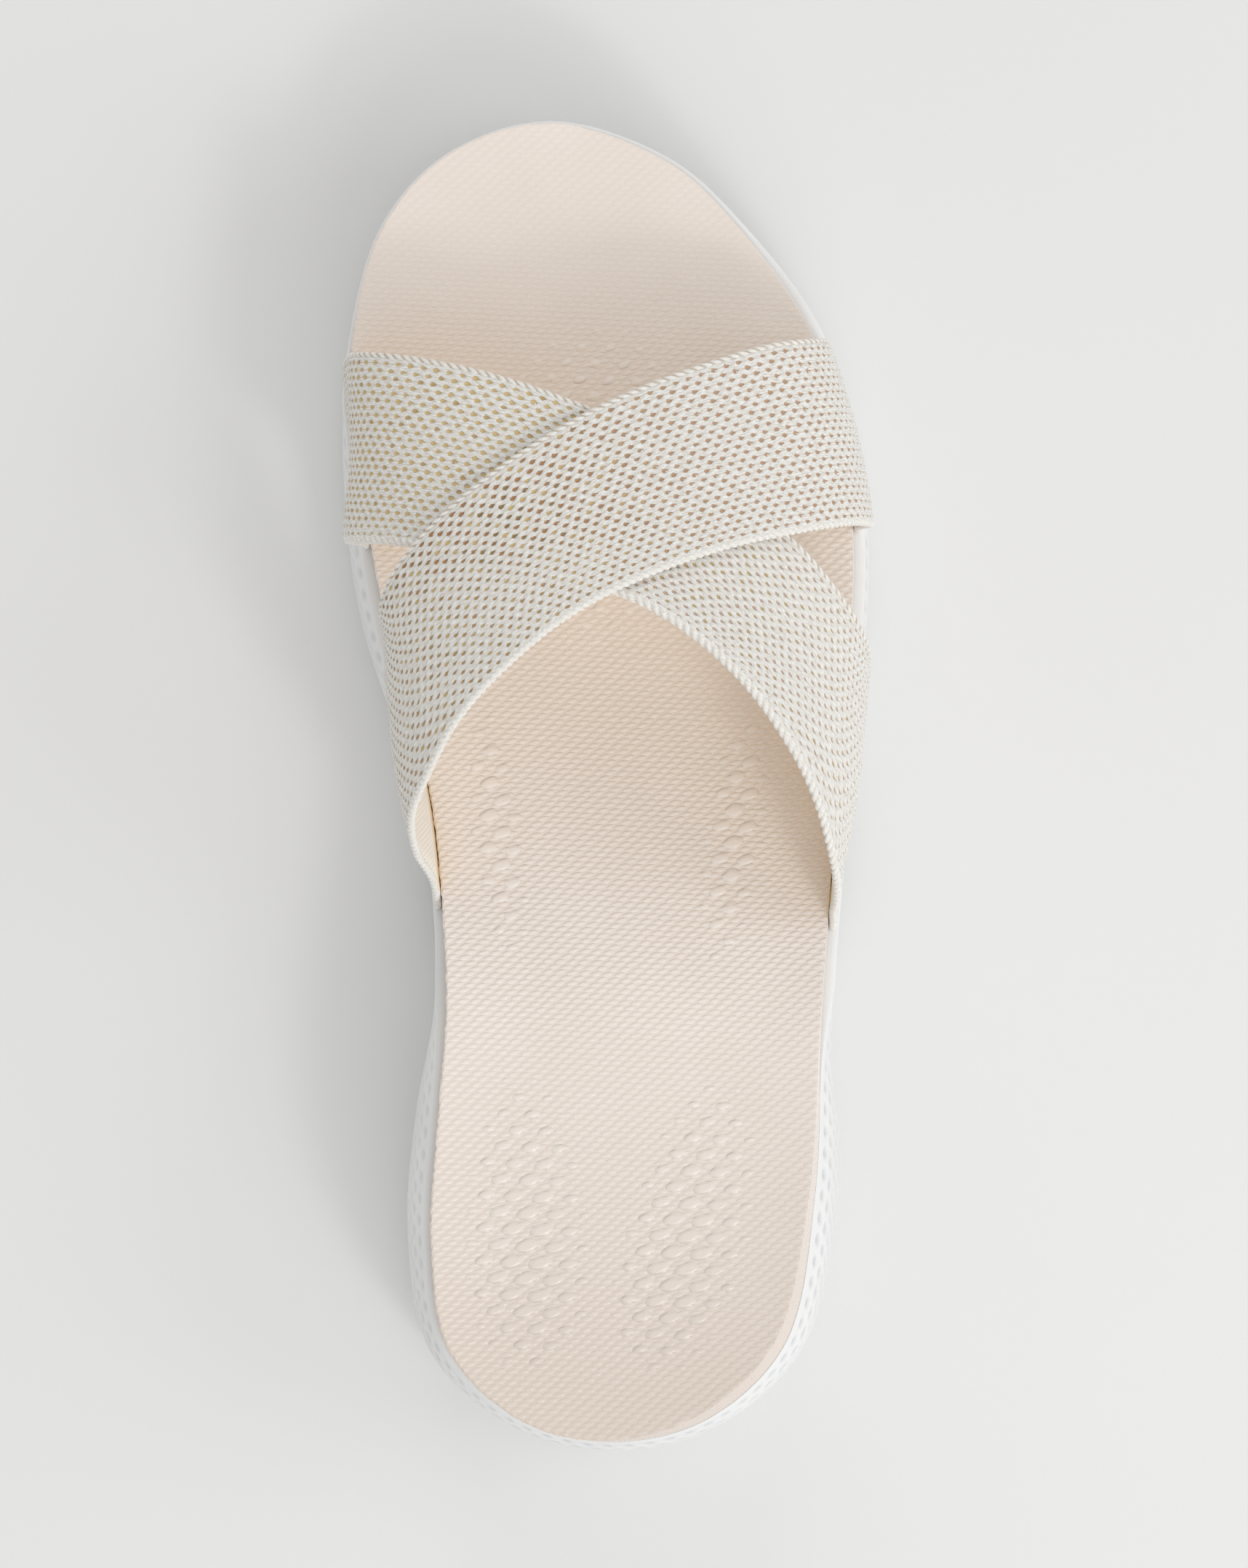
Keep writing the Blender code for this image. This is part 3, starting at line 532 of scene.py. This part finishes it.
# Strap edges: share of the way over the last from the medial seam, y of the front edge, y of the rear edge
OVER_EDGES = np.array([
    (0.00, 17.0, -24.0), (0.08, 24.0, -15.5), (0.16, 30.6, -7.8), (0.24, 37.4, -0.2), (0.32, 46.8, 10.2),
    (0.40, 56.2, 20.0), (0.48, 64.8, 29.6), (0.56, 72.2, 37.2), (0.64, 77.6, 42.6), (0.72, 81.4, 45.8),
    (0.80, 83.0, 47.8), (0.88, 83.8, 48.4), (1.00, 83.0, 48.0),
])
UNDER_EDGES = np.array([
    (0.00, 80.5, 45.0), (0.08, 81.6, 45.4), (0.16, 81.3, 45.0), (0.24, 80.9, 44.4), (0.32, 79.7, 43.0),
    (0.40, 77.2, 40.6), (0.48, 72.8, 37.0), (0.56, 66.0, 31.2), (0.64, 56.2, 20.0), (0.72, 45.2, 4.6),
    (0.80, 34.1, -12.0), (0.88, 25.6, -20.5), (1.00, 15.0, -28.0),
])
OVER_LIFT = 1.8                              # the over strap lies on the under strap and its selvedges
LIFTS, LANDS = (0.10, 0.28), (0.73, 0.90)    # where it rises onto the under strap and comes down again
seeded = np.random.default_rng(7)


def last_point(around, y):
    """A point of the last, from the medial seam at 0, over the instep, to the lateral seam at 1."""
    angle = np.pi * around
    inner, outer = edge_x(y, "medial") - SEAM_OFFSET, edge_x(y, "lateral") + SEAM_OFFSET
    height, inner_swell, outer_swell = np.moveaxis(smooth_between(LAST[:, 0], LAST[:, 1:], y), -1, 0)
    near = np.clip(np.minimum(around, 1.0 - around) / SWELL_SHARE, 0.0, 1.0)
    swell = np.where(around < 0.5, -inner_swell, outer_swell) * SWELL_PEAK * near * (1.0 - near) ** 2
    bulge = np.where(around < 0.5, -MEDIAL_BULGE, LATERAL_BULGE) * np.abs(np.sin(2 * angle))
    upright = ease(np.minimum(around, 1.0 - around), *UPRIGHT_FEET)
    x = (inner + outer) / 2 - (outer - inner) / 2 * np.cos(angle) + RIDGE_SHIFT * np.sin(angle) ** 2
    x = x + (bulge + swell) * upright
    return np.stack([x, y, seat_height(y) + SEAM_GAP + height * np.abs(np.sin(angle)) ** ROUNDNESS], axis=-1)


def last_normal(around, y):
    """The last's outward direction, level at the seams."""
    low, high = np.clip(around - 0.004, 0.0, 1.0), np.clip(around + 0.004, 0.0, 1.0)
    normal = np.cross(
        last_point(high, y) - last_point(low, y), last_point(around, y + 0.5) - last_point(around, y - 0.5)
    )
    normal[..., 2] *= ease(np.minimum(around, 1.0 - around), *LEVEL_FEET)
    return normal / np.linalg.norm(normal, axis=-1, keepdims=True)


def on_strap(edges, lift, around, share, depth):
    """Points of a strap: share is 0 at its front edge, 1 at its rear edge, depth counts from its back."""
    front, rear = np.moveaxis(smooth_between(edges[:, 0], edges[:, 1:], around), -1, 0)
    y = front + (rear - front) * share
    raised = lift * ease(around, *LIFTS) * (1.0 - ease(around, *LANDS))
    at = last_point(around, y) + last_normal(around, y) * (raised + depth)[..., None]
    at[..., 2] -= FOOT_SINK * (1.0 - ease(np.minimum(around, 1.0 - around), *SUNK_FEET))
    return at


def middle_line(edges, lift):
    """Along a strap's middle: share of the way over the last, length so far, slant of the rows, width."""
    around, full = np.linspace(0.0, 1.0, MIDDLE_POINTS), np.ones(MIDDLE_POINTS)
    ahead, middle, behind = (on_strap(edges, lift, around, s * full, full) for s in (0.45, 0.5, 0.55))
    step = np.diff(middle, axis=0)
    run = np.append(0.0, np.cumsum(np.linalg.norm(step, axis=1)))
    along = np.gradient(middle, axis=0)
    along /= np.linalg.norm(along, axis=1, keepdims=True)
    across = (behind - ahead) / 0.1
    slant = (across * along).sum(axis=1)
    width = np.sqrt((across**2).sum(axis=1) - slant**2)
    even = np.hanning(EVENED_POINTS) / np.hanning(EVENED_POINTS).sum()
    slant = np.convolve(np.pad(slant, EVENED_POINTS // 2, mode="edge"), even, mode="valid")
    slant *= ease(np.minimum(run, run[-1] - run), 0.0, SLANT_FADE)
    return around, run, slant, width


def make_strap(name, edges, lift, eyelet_size, thread_tone, painted_golden_share):
    """One strap: knit stitches on its face, plain edges and a lining on its back, closed at both ends."""
    around, run, slant, width = middle_line(edges, lift)
    stitches = round(run[-1] / STITCH_PITCH)
    along = np.linspace(0.0, run[-1], stitches * STITCH_COLUMNS + 1)
    middle_slant, middle_width = np.interp(along, run, slant), np.interp(along, run, width)
    stitch_rows = round((width.mean() - 2 * SELVEDGE_INSET) / STITCH_ROW)
    columns = np.arange(len(along))
    face_rows = np.arange(stitch_rows * STITCH_ROWS + 1)
    face_share = face_rows / face_rows[-1]

    def rows_of(inset, depth):
        """Rows of points across the strap, square to its middle line, at millimetres from its front edge."""
        share = inset / middle_width
        at = np.interp(along - middle_slant * (share - 0.5), run, around)
        return on_strap(edges, lift, at, share, np.broadcast_to(depth, share.shape))

    # Eyelets are sunk into the face, and the yarn swells between them
    row = np.minimum(face_rows // STITCH_ROWS, stitch_rows - 1)
    shift = STITCH_COLUMNS // 2 * (row % 2)
    off_along = (columns[None, :] + shift[:, None]) % STITCH_COLUMNS / STITCH_COLUMNS - 0.5
    off_across = ((face_rows - row * STITCH_ROWS) / STITCH_ROWS - 0.5)[:, None]
    size = eyelet_size(np.interp(along, run, around)[None, :], face_share[:, None])
    reach = (off_along * STITCH_PITCH / EYELET_HALF[0]) ** 2
    reach = reach + np.abs(off_across) * STITCH_ROW / EYELET_HALF[1]
    hollow = EYELET_DEPTH * size * (1.0 - ease(reach, 0.15, 1.45))
    swell = YARN_SWELL * (0.5 - 0.5 * np.cos(2 * np.pi * off_along)) * np.cos(np.pi * off_across) ** 2
    inner_width = middle_width - 2 * SELVEDGE_INSET
    depth = STRAP_THICKNESS - 0.1 + swell - hollow
    face = rows_of(SELVEDGE_INSET + face_share[:, None] * inner_width, depth)
    edge_insets, edge_depths = EDGE_SECTION.T[..., None]
    rear_edge = rows_of(middle_width - edge_insets, edge_depths)
    lining = rows_of(SELVEDGE_INSET + np.linspace(1.0, 0.0, LINING_ROWS + 1)[1:, None] * inner_width, 0.0)
    front_edge = rows_of(edge_insets[2::-1] + np.zeros(len(along)), edge_depths[2::-1])
    section = np.concatenate([face, rear_edge, lining, front_edge, face[:1]])
    mesh, corner_row, corner_column = lay_grid(name, section)

    # Each stitch has its own axes in millimetres, a thread colour, an eyelet size and now and then a glossy
    # fleck with a painted highlight
    face_row, face_column = corner_row.min(axis=1), corner_column.min(axis=1)
    on_face = face_row < face_rows[-1]
    stitch_row = np.minimum(face_row // STITCH_ROWS, stitch_rows - 1)
    odd = STITCH_COLUMNS // 2 * (stitch_row % 2)
    stitch = (face_column + odd) // STITCH_COLUMNS
    middle_column = (stitch + 0.5) * STITCH_COLUMNS - odd
    own_along = (corner_column - middle_column[:, None]) / STITCH_COLUMNS * STITCH_PITCH
    own_across = (corner_row - ((stitch_row + 0.5) * STITCH_ROWS)[:, None]) / STITCH_ROWS * STITCH_ROW
    own_across = np.where(on_face[:, None], own_across, STITCH_ROW / 2)
    add_layer(mesh, "stitch", "UV", np.stack([own_along, own_across], axis=-1))
    face_width = stitch_rows * STITCH_ROW
    across = np.concatenate([
        face_share * face_width,
        face_width + np.arange(1, 4) * 0.5,
        face_width + 2.0 + np.linspace(0.0, face_width, LINING_ROWS + 1),
        2 * face_width + 2.0 + np.arange(1, 5) * 0.5,
    ])
    add_layer(mesh, "lay", "UV", np.stack([along[corner_column], across[corner_row]], axis=-1))
    stitch_around = np.interp(along[np.clip(middle_column.astype(int), 0, len(along) - 1)], run, around)
    stitch_share = (stitch_row + 0.5) / stitch_rows
    chance = seeded.random((stitch_rows, stitches + 2, 3))[stitch_row, stitch]
    thread = thread_tone(stitch_around, stitch_share, chance[:, 0])
    opening = eyelet_size(stitch_around, stitch_share) * (0.88 + 0.24 * chance[:, 1]) * on_face
    # Stitches whose fleck gets a painted highlight
    glint = (chance[:, 2] > GLINT_FROM) & on_face
    add_layer(mesh, "thread", "FLOAT_COLOR", np.repeat(np.column_stack([thread, opening]), 4, axis=0))
    add_layer(mesh, "glint", "FLOAT", np.repeat(glint.astype(float), 4))
    from_end = np.minimum(along, run[-1] - along)[corner_column]
    # Painted warm shade: the lining turns golden near the strap's feet, and all over by the given share
    add_layer(mesh, "gold", "FLOAT", np.maximum(1.0 - ease(from_end, *FOOT_PAINTED_WARM_SHADE), painted_golden_share))
    is_lining = (face_row >= face_rows[-1] + 3) & (face_row < face_rows[-1] + 5 + LINING_ROWS)
    mesh.polygons.foreach_set("material_index", is_lining.astype(np.int32))
    strap = make_piece(name, mesh, [knit_yarn, twill_lining], "upper")


# Knitted cotton-look yarn: matt off-white with fine filaments lying along the strap. Brown and gold thread
# shows in the eyelets. In about one stitch of eight a glossy fleck stands for a metallic filament, and its
# highlight is painted in near white.
knit_yarn = new_material("white_knit_with_gold_thread")
lay = add(knit_yarn, "UVMap", {}, uv_map="lay")[0]
stitch = add(knit_yarn, "UVMap", {}, uv_map="stitch")[0]
own = add(knit_yarn, "SeparateXYZ", {0: stitch})
thread = add(knit_yarn, "Attribute", {}, attribute_name="thread")
fray = add(knit_yarn, "TexNoise", {"Vector": lay, "Scale": 2.6, "Detail": 2.0})["Fac"]
along_share = add(knit_yarn, "Math", {0: own[0], 1: 1 / EYELET_HALF[0]}, operation="MULTIPLY")[0]
along_share = add(knit_yarn, "Math", {0: along_share, 1: 2.0}, operation="POWER")[0]
across_share = add(knit_yarn, "Math", {0: own[1]}, operation="ABSOLUTE")[0]
taper = add(knit_yarn, "Math", {
    0: own[0], 1: 0.9 / EYELET_HALF[1], 2: 1 / EYELET_HALF[1],
}, operation="MULTIPLY_ADD")[0]
reach = add(knit_yarn, "Math", {0: across_share, 1: taper, 2: along_share}, operation="MULTIPLY_ADD")[0]
reach = add(knit_yarn, "Math", {0: fray, 1: 1.2, 2: reach}, operation="MULTIPLY_ADD")[0]
reach = add(knit_yarn, "Math", {0: reach, 1: thread["Alpha"]}, operation="SUBTRACT")[0]
eyelet = add(knit_yarn, "MapRange", {
    "Value": reach, "From Min": 0.75, "From Max": 0.2,
}, interpolation_type="SMOOTHSTEP")[0]
strand_place = add(knit_yarn, "Mapping", {
    "Vector": lay, "Rotation": (0.0, 0.0, 0.25), "Scale": (0.8, 4.2, 1.0),
})[0]
strand = add(knit_yarn, "TexNoise", {
    "Vector": strand_place, "Scale": 1.0, "Detail": 3.0, "Roughness": 0.6,
})["Fac"]
yarn = add(knit_yarn, "ValToRGB", {"Fac": strand}, stops=((0.34, "#d0c9bd"), (0.58, "#f2f1ee")))[0]
tail = add(knit_yarn, "MapRange", {
    "Value": across_share, "From Min": 0.22, "From Max": 0.05, "To Max": 0.62,
})[0]
tail = add(knit_yarn, "Math", {0: tail, 1: fray}, operation="MULTIPLY")[0]
open_share = add(knit_yarn, "MapRange", {
    "Value": thread["Alpha"], "From Min": 0.6, "From Max": 0.95, "To Min": 0.2,
})[0]
tail = add(knit_yarn, "Math", {0: tail, 1: open_share}, operation="MULTIPLY")[0]
colour = add(knit_yarn, "Mix", {0: tail, 6: yarn, 7: linear("#b99f7a")}, data_type="RGBA")[2]
colour = add(knit_yarn, "Mix", {0: eyelet, 6: colour, 7: thread["Color"]}, data_type="RGBA")[2]
# Glossy fleck with a painted highlight: a near-white colour is painted on it, and its roughness is lowered
glossy_and_painted_highlight = add(knit_yarn, "VectorMath", {0: stitch, 1: (0.25, 0.22, 0.0)}, operation="DISTANCE")["Value"]
glossy_and_painted_highlight = add(knit_yarn, "MapRange", {"Value": glossy_and_painted_highlight, "From Min": 0.24, "From Max": 0.12})[0]
glint = add(knit_yarn, "Attribute", {}, attribute_name="glint")["Fac"]
glossy_and_painted_highlight = add(knit_yarn, "Math", {0: glossy_and_painted_highlight, 1: glint}, operation="MULTIPLY")[0]
colour = add(knit_yarn, "Mix", {0: glossy_and_painted_highlight, 6: colour, 7: linear("#fffdf6")}, data_type="RGBA")[2]
height = add(knit_yarn, "Math", {0: eyelet, 1: -1.6, 2: strand}, operation="MULTIPLY_ADD")[0]
relief = add(knit_yarn, "Bump", {"Height": height, "Strength": 0.7, "Distance": 0.2 * MM})[0]
gloss = add(knit_yarn, "MapRange", {"Value": glossy_and_painted_highlight, "To Min": 0.78, "To Max": 0.25})[0]
cloth = add(knit_yarn, "BsdfPrincipled", {
    "Base Color": colour, "Roughness": gloss, "Normal": relief, "Sheen Weight": 0.25, "Sheen Roughness": 0.5,
})[0]
add(knit_yarn, "OutputMaterial", {"Surface": cloth})

# Brushed polyester twill: soft white, with fine diagonal ribs about 0.6 mm apart. Painted warm shade turns
# it golden over most of the under strap and at the feet of both straps, standing in for the warm shade and
# bounce under the straps and in the gaps at their feet
twill_lining = new_material("white_twill_lining")
lay = add(twill_lining, "UVMap", {}, uv_map="lay")[0]
rib = add(twill_lining, "TexWave", {
    "Vector": lay, "Scale": 0.7, "Distortion": 0.6,
}, bands_direction="DIAGONAL")["Fac"]
tone = add(twill_lining, "ValToRGB", {"Fac": rib}, stops=((0.0, "#f8f5ee"), (1.0, "#fffefb")))[0]
# Painted warm shade: the white twill is mixed towards gold
painted_golden_shade = add(twill_lining, "Attribute", {}, attribute_name="gold")["Fac"]
colour = add(twill_lining, "Mix", {0: painted_golden_shade, 6: tone, 7: linear("#eccb90")}, data_type="RGBA")[2]
relief = add(twill_lining, "Bump", {"Height": rib, "Strength": 0.5, "Distance": 0.1 * MM})[0]
cloth = add(twill_lining, "BsdfPrincipled", {
    "Base Color": colour, "Roughness": 0.85, "Normal": relief, "Sheen Weight": 0.2, "Sheen Roughness": 0.5,
})[0]
add(twill_lining, "OutputMaterial", {"Surface": cloth})

# Colours of the thread in the eyelets
BROWN, DARK, GOLD, TAN, ROSE, PALE = (
    np.array(linear(code)[:3]) for code in ("#b08459", "#9b7f54", "#d6bc84", "#c09c7e", "#c8ab95", "#c5a874")
)


def over_closed(around, share):
    """The over strap is stretched open ahead of the bend of the foot, and its stitches close up behind."""
    front, rear = np.moveaxis(smooth_between(OVER_EDGES[:, 0], OVER_EDGES[:, 1:], around), -1, 0)
    return 1.0 - ease(front + (rear - front) * share, 32.0, 49.0)


def over_eyelets(around, share):
    """Eyelets of the over strap are smaller where it is closed, and on its lateral side."""
    lateral = 0.12 * ease(around, 0.45, 0.65) + 0.2 * ease(around, 0.76, 0.92)
    return (1.0 - 0.22 * over_closed(around, share)) * (1.0 - lateral)


def over_thread(around, share, chance):
    """Brown, dark and gold, paler where the over strap is closed, and tan on its lateral side."""
    pick = np.where(chance[:, None] < 0.55, BROWN, np.where(chance[:, None] < 0.75, DARK, GOLD))
    lateral = ease(around, 0.42, 0.66)[:, None]
    faded = 0.5 * over_closed(around, share)[:, None] * (1.0 - lateral)
    return (pick * (1.0 - lateral) + TAN * lateral) * (1.0 - faded) + PALE * faded


def under_eyelets(around, share):
    """Eyelets of the under strap are smaller on its lateral side and along its rear edge."""
    return (0.95 - 0.27 * ease(around, 0.5, 0.75)) * (1.0 - 0.3 * ease(share, 0.88, 0.98))


def under_thread(around, share, chance):
    """Gold on the under strap's medial side, rose on its lateral side."""
    medial = np.where(chance[:, None] < 0.85, GOLD, PALE)
    lateral = np.where(chance[:, None] < 0.7, ROSE, PALE)
    over = ease(around, 0.45, 0.6)[:, None]
    return medial * (1.0 - over) + lateral * over


# For each: strap edges, lift, eyelets, threads and how much painted golden shade its lining has
make_strap("under_strap", UNDER_EDGES, 0.0, under_eyelets, under_thread, 0.9)
make_strap("over_strap", OVER_EDGES, OVER_LIFT, over_eyelets, over_thread, 0.12)

# Selvedges
# The knit's own edges: two plies of the same yarn laid round each other, with brown painted into the furrows
# between them as shade, faint along the rear of the over strap, which stays nearly white. They are knitted
# on, so they follow the straps.
CORD_DEPTH = 0.75
CORD_STEP = 0.3
CORD_SIDES = 14
FOOT_SHARE, SEAT_CLEARANCE = 0.02, 0.03


def make_selvedge(name, edges, lift, rear, radius, breadth, lobes, pitch, furrow_shade_strength):
    """A cord along one edge of a strap, with its plies as lobes that turn along it."""
    around, run, _, width = middle_line(edges, lift)
    steps = np.linspace(0.0, run[-1], round(run[-1] / CORD_STEP) + 1)
    around, width = np.interp(steps, run, around), np.interp(steps, run, width)
    share = 1.0 - breadth / width if rear else breadth / width
    middle = on_strap(edges, lift, around, share, np.full(len(around), CORD_DEPTH))
    along = np.gradient(middle, axis=0)
    along /= np.linalg.norm(along, axis=1, keepdims=True)
    so_far = np.append(0.0, np.cumsum(np.linalg.norm(np.diff(middle, axis=0), axis=1)))
    out = on_strap(edges, lift, around, share, np.full(len(around), CORD_DEPTH + 1.0)) - middle
    aside = np.cross(along, out)
    aside /= np.linalg.norm(aside, axis=1, keepdims=True)
    out = np.cross(aside, along)
    angle = np.linspace(0.0, 2 * np.pi, CORD_SIDES + 1)[:, None]
    twist = np.pi * so_far[None, :] / pitch
    ply = np.abs(np.cos(angle - twist))
    reach = 1.0 - lobes + lobes * ply
    out, aside = radius * np.cos(angle)[..., None] * out, breadth * np.sin(angle)[..., None] * aside
    cord = middle[None] + reach[..., None] * (out + aside)
    at_foot = np.minimum(around, 1.0 - around) < FOOT_SHARE
    above_seat = np.maximum(cord[..., 2], seat_height(cord[..., 1]) + SEAT_CLEARANCE)
    cord[..., 2] = np.where(at_foot, above_seat, cord[..., 2])
    cord[-1] = cord[0]
    mesh, corner_row, corner_column = lay_grid(name, cord)
    lay = np.stack([so_far[corner_column], corner_row / CORD_SIDES * 2 * np.pi * radius], axis=-1)
    add_layer(mesh, "lay", "UV", lay)
    # Painted shade: brown in the furrows between the plies
    add_layer(mesh, "furrow", "FLOAT", furrow_shade_strength * (1.0 - ply[corner_row, corner_column]) ** 2)
    make_piece(name, mesh, [selvedge_yarn], "upper")


# The same yarn without eyelets: off-white and finely stranded, with brown painted into the furrows between
# its plies as shade
selvedge_yarn = new_material("white_selvedge_yarn")
lay = add(selvedge_yarn, "UVMap", {}, uv_map="lay")[0]
strand_place = add(selvedge_yarn, "Mapping", {
    "Vector": lay, "Rotation": (0.0, 0.0, 0.6), "Scale": (1.2, 6.0, 1.0),
})[0]
strand = add(selvedge_yarn, "TexNoise", {"Vector": strand_place, "Scale": 1.0, "Detail": 3.0})["Fac"]
yarn = add(selvedge_yarn, "ValToRGB", {"Fac": strand}, stops=((0.3, "#dcd6ca"), (0.6, "#f8f7f4")))[0]
# Painted shade in the furrows between the plies
furrow = add(selvedge_yarn, "Attribute", {}, attribute_name="furrow")["Fac"]
colour = add(selvedge_yarn, "Mix", {0: furrow, 6: yarn, 7: linear("#a98d68")}, data_type="RGBA")[2]
relief = add(selvedge_yarn, "Bump", {"Height": strand, "Strength": 0.6, "Distance": 0.15 * MM})[0]
cloth = add(selvedge_yarn, "BsdfPrincipled", {
    "Base Color": colour, "Roughness": 0.75, "Normal": relief, "Sheen Weight": 0.25, "Sheen Roughness": 0.5,
})[0]
add(selvedge_yarn, "OutputMaterial", {"Surface": cloth})

# For each: strap edges, lift, whether along the rear edge, radius, half breadth, depth of the furrows,
# spacing of the plies and how dark the painted shade in the furrows is
make_selvedge("under_front_selvedge", UNDER_EDGES, 0.0, False, 0.74, 0.6, 0.34, 1.9, 0.9)
make_selvedge("under_rear_selvedge", UNDER_EDGES, 0.0, True, 0.8, 1.1, 0.36, 1.7, 0.34)
make_selvedge("over_front_selvedge", OVER_EDGES, OVER_LIFT, False, 0.74, 0.6, 0.36, 1.9, 0.9)
make_selvedge("over_rear_selvedge", OVER_EDGES, OVER_LIFT, True, 0.8, 0.85, 0.42, 1.4, 0.12)

# Studio
# A sheet of pale matt paper under the sandal, lit by a softbox and a small lamp at the heel's little-toe
# side, by two reflectors beside and beyond the toe, and by the white room around it. The camera looks
# straight down.
CAMERA_HEIGHT, FOCAL_LENGTH, SENSOR = 1.25, 147.12, 36.0   # the height in metres, the others in millimetres
bm = bmesh.new()
bmesh.ops.create_grid(bm, x_segments=1, y_segments=1, size=4.0)
floor_mesh = bpy.data.meshes.new("floor")
bm.to_mesh(floor_mesh)
bm.free()
floor = bpy.data.objects.new("floor", floor_mesh)
bpy.context.collection.objects.link(floor)
paper = new_material("pale_matt_paper")
place = add(paper, "TexCoord", {})["Object"]
fibre = add(paper, "TexNoise", {"Vector": place, "Scale": 1 / (90 * MM), "Detail": 2.0})["Fac"]
tone = add(paper, "ValToRGB", {"Fac": fibre}, stops=((0.0, "#e9e9e9"), (1.0, "#ebebea")))[0]
sheet = add(paper, "BsdfPrincipled", {"Base Color": tone, "Roughness": 0.9, "Specular IOR Level": 0.2})[0]
add(paper, "OutputMaterial", {"Surface": sheet})
floor_mesh.materials.append(paper)

# Each light: diameter in metres, power, colour, and its azimuth, elevation and distance from the sandal
for name, size, power, colour, azimuth, elevation, distance in (
    ("softbox", 1.3, 7.10, (0.97, 0.985, 1.0), -62.0, 45.0, 1.8),
    ("lamp", 0.2, 1.41, (1.0, 0.985, 0.96), -56.0, 46.0, 1.2),
    ("side_reflector", 1.3, 5.50, (0.98, 0.99, 1.0), 0.0, 29.0, 1.8),
    ("toe_reflector", 1.3, 5.02, (1.0, 0.99, 0.97), 94.0, 29.0, 1.8),
):
    light = bpy.data.lights.new(name, "AREA")
    light.shape, light.size, light.energy, light.color = "DISK", size, power, colour
    light_at = bpy.data.objects.new(name, light)
    turned, raised = math.radians(azimuth), math.radians(elevation)
    level = distance * math.cos(raised)
    light_at.location = (level * math.cos(turned), level * math.sin(turned), distance * math.sin(raised))
    light_at.rotation_euler = (-light_at.location).to_track_quat("-Z", "Y").to_euler()
    bpy.context.collection.objects.link(light_at)

room = bpy.data.worlds.new("white_room")
room.use_nodes = True
sky = room.node_tree.nodes["Background"]
sky.inputs["Color"].default_value = (1.0, 0.997, 0.988, 1.0)
sky.inputs["Strength"].default_value = 0.616
bpy.context.scene.world = room
bpy.context.scene.view_settings.view_transform = "Standard"

lens = bpy.data.cameras.new("camera")
lens.lens, lens.sensor_width = FOCAL_LENGTH, SENSOR
lens.clip_start = 0.02
camera = bpy.data.objects.new("camera", lens)
camera.location = (-BOX_MIDDLE[0] * MM, -BOX_MIDDLE[1] * MM, CAMERA_HEIGHT)
bpy.context.collection.objects.link(camera)
bpy.context.scene.camera = camera
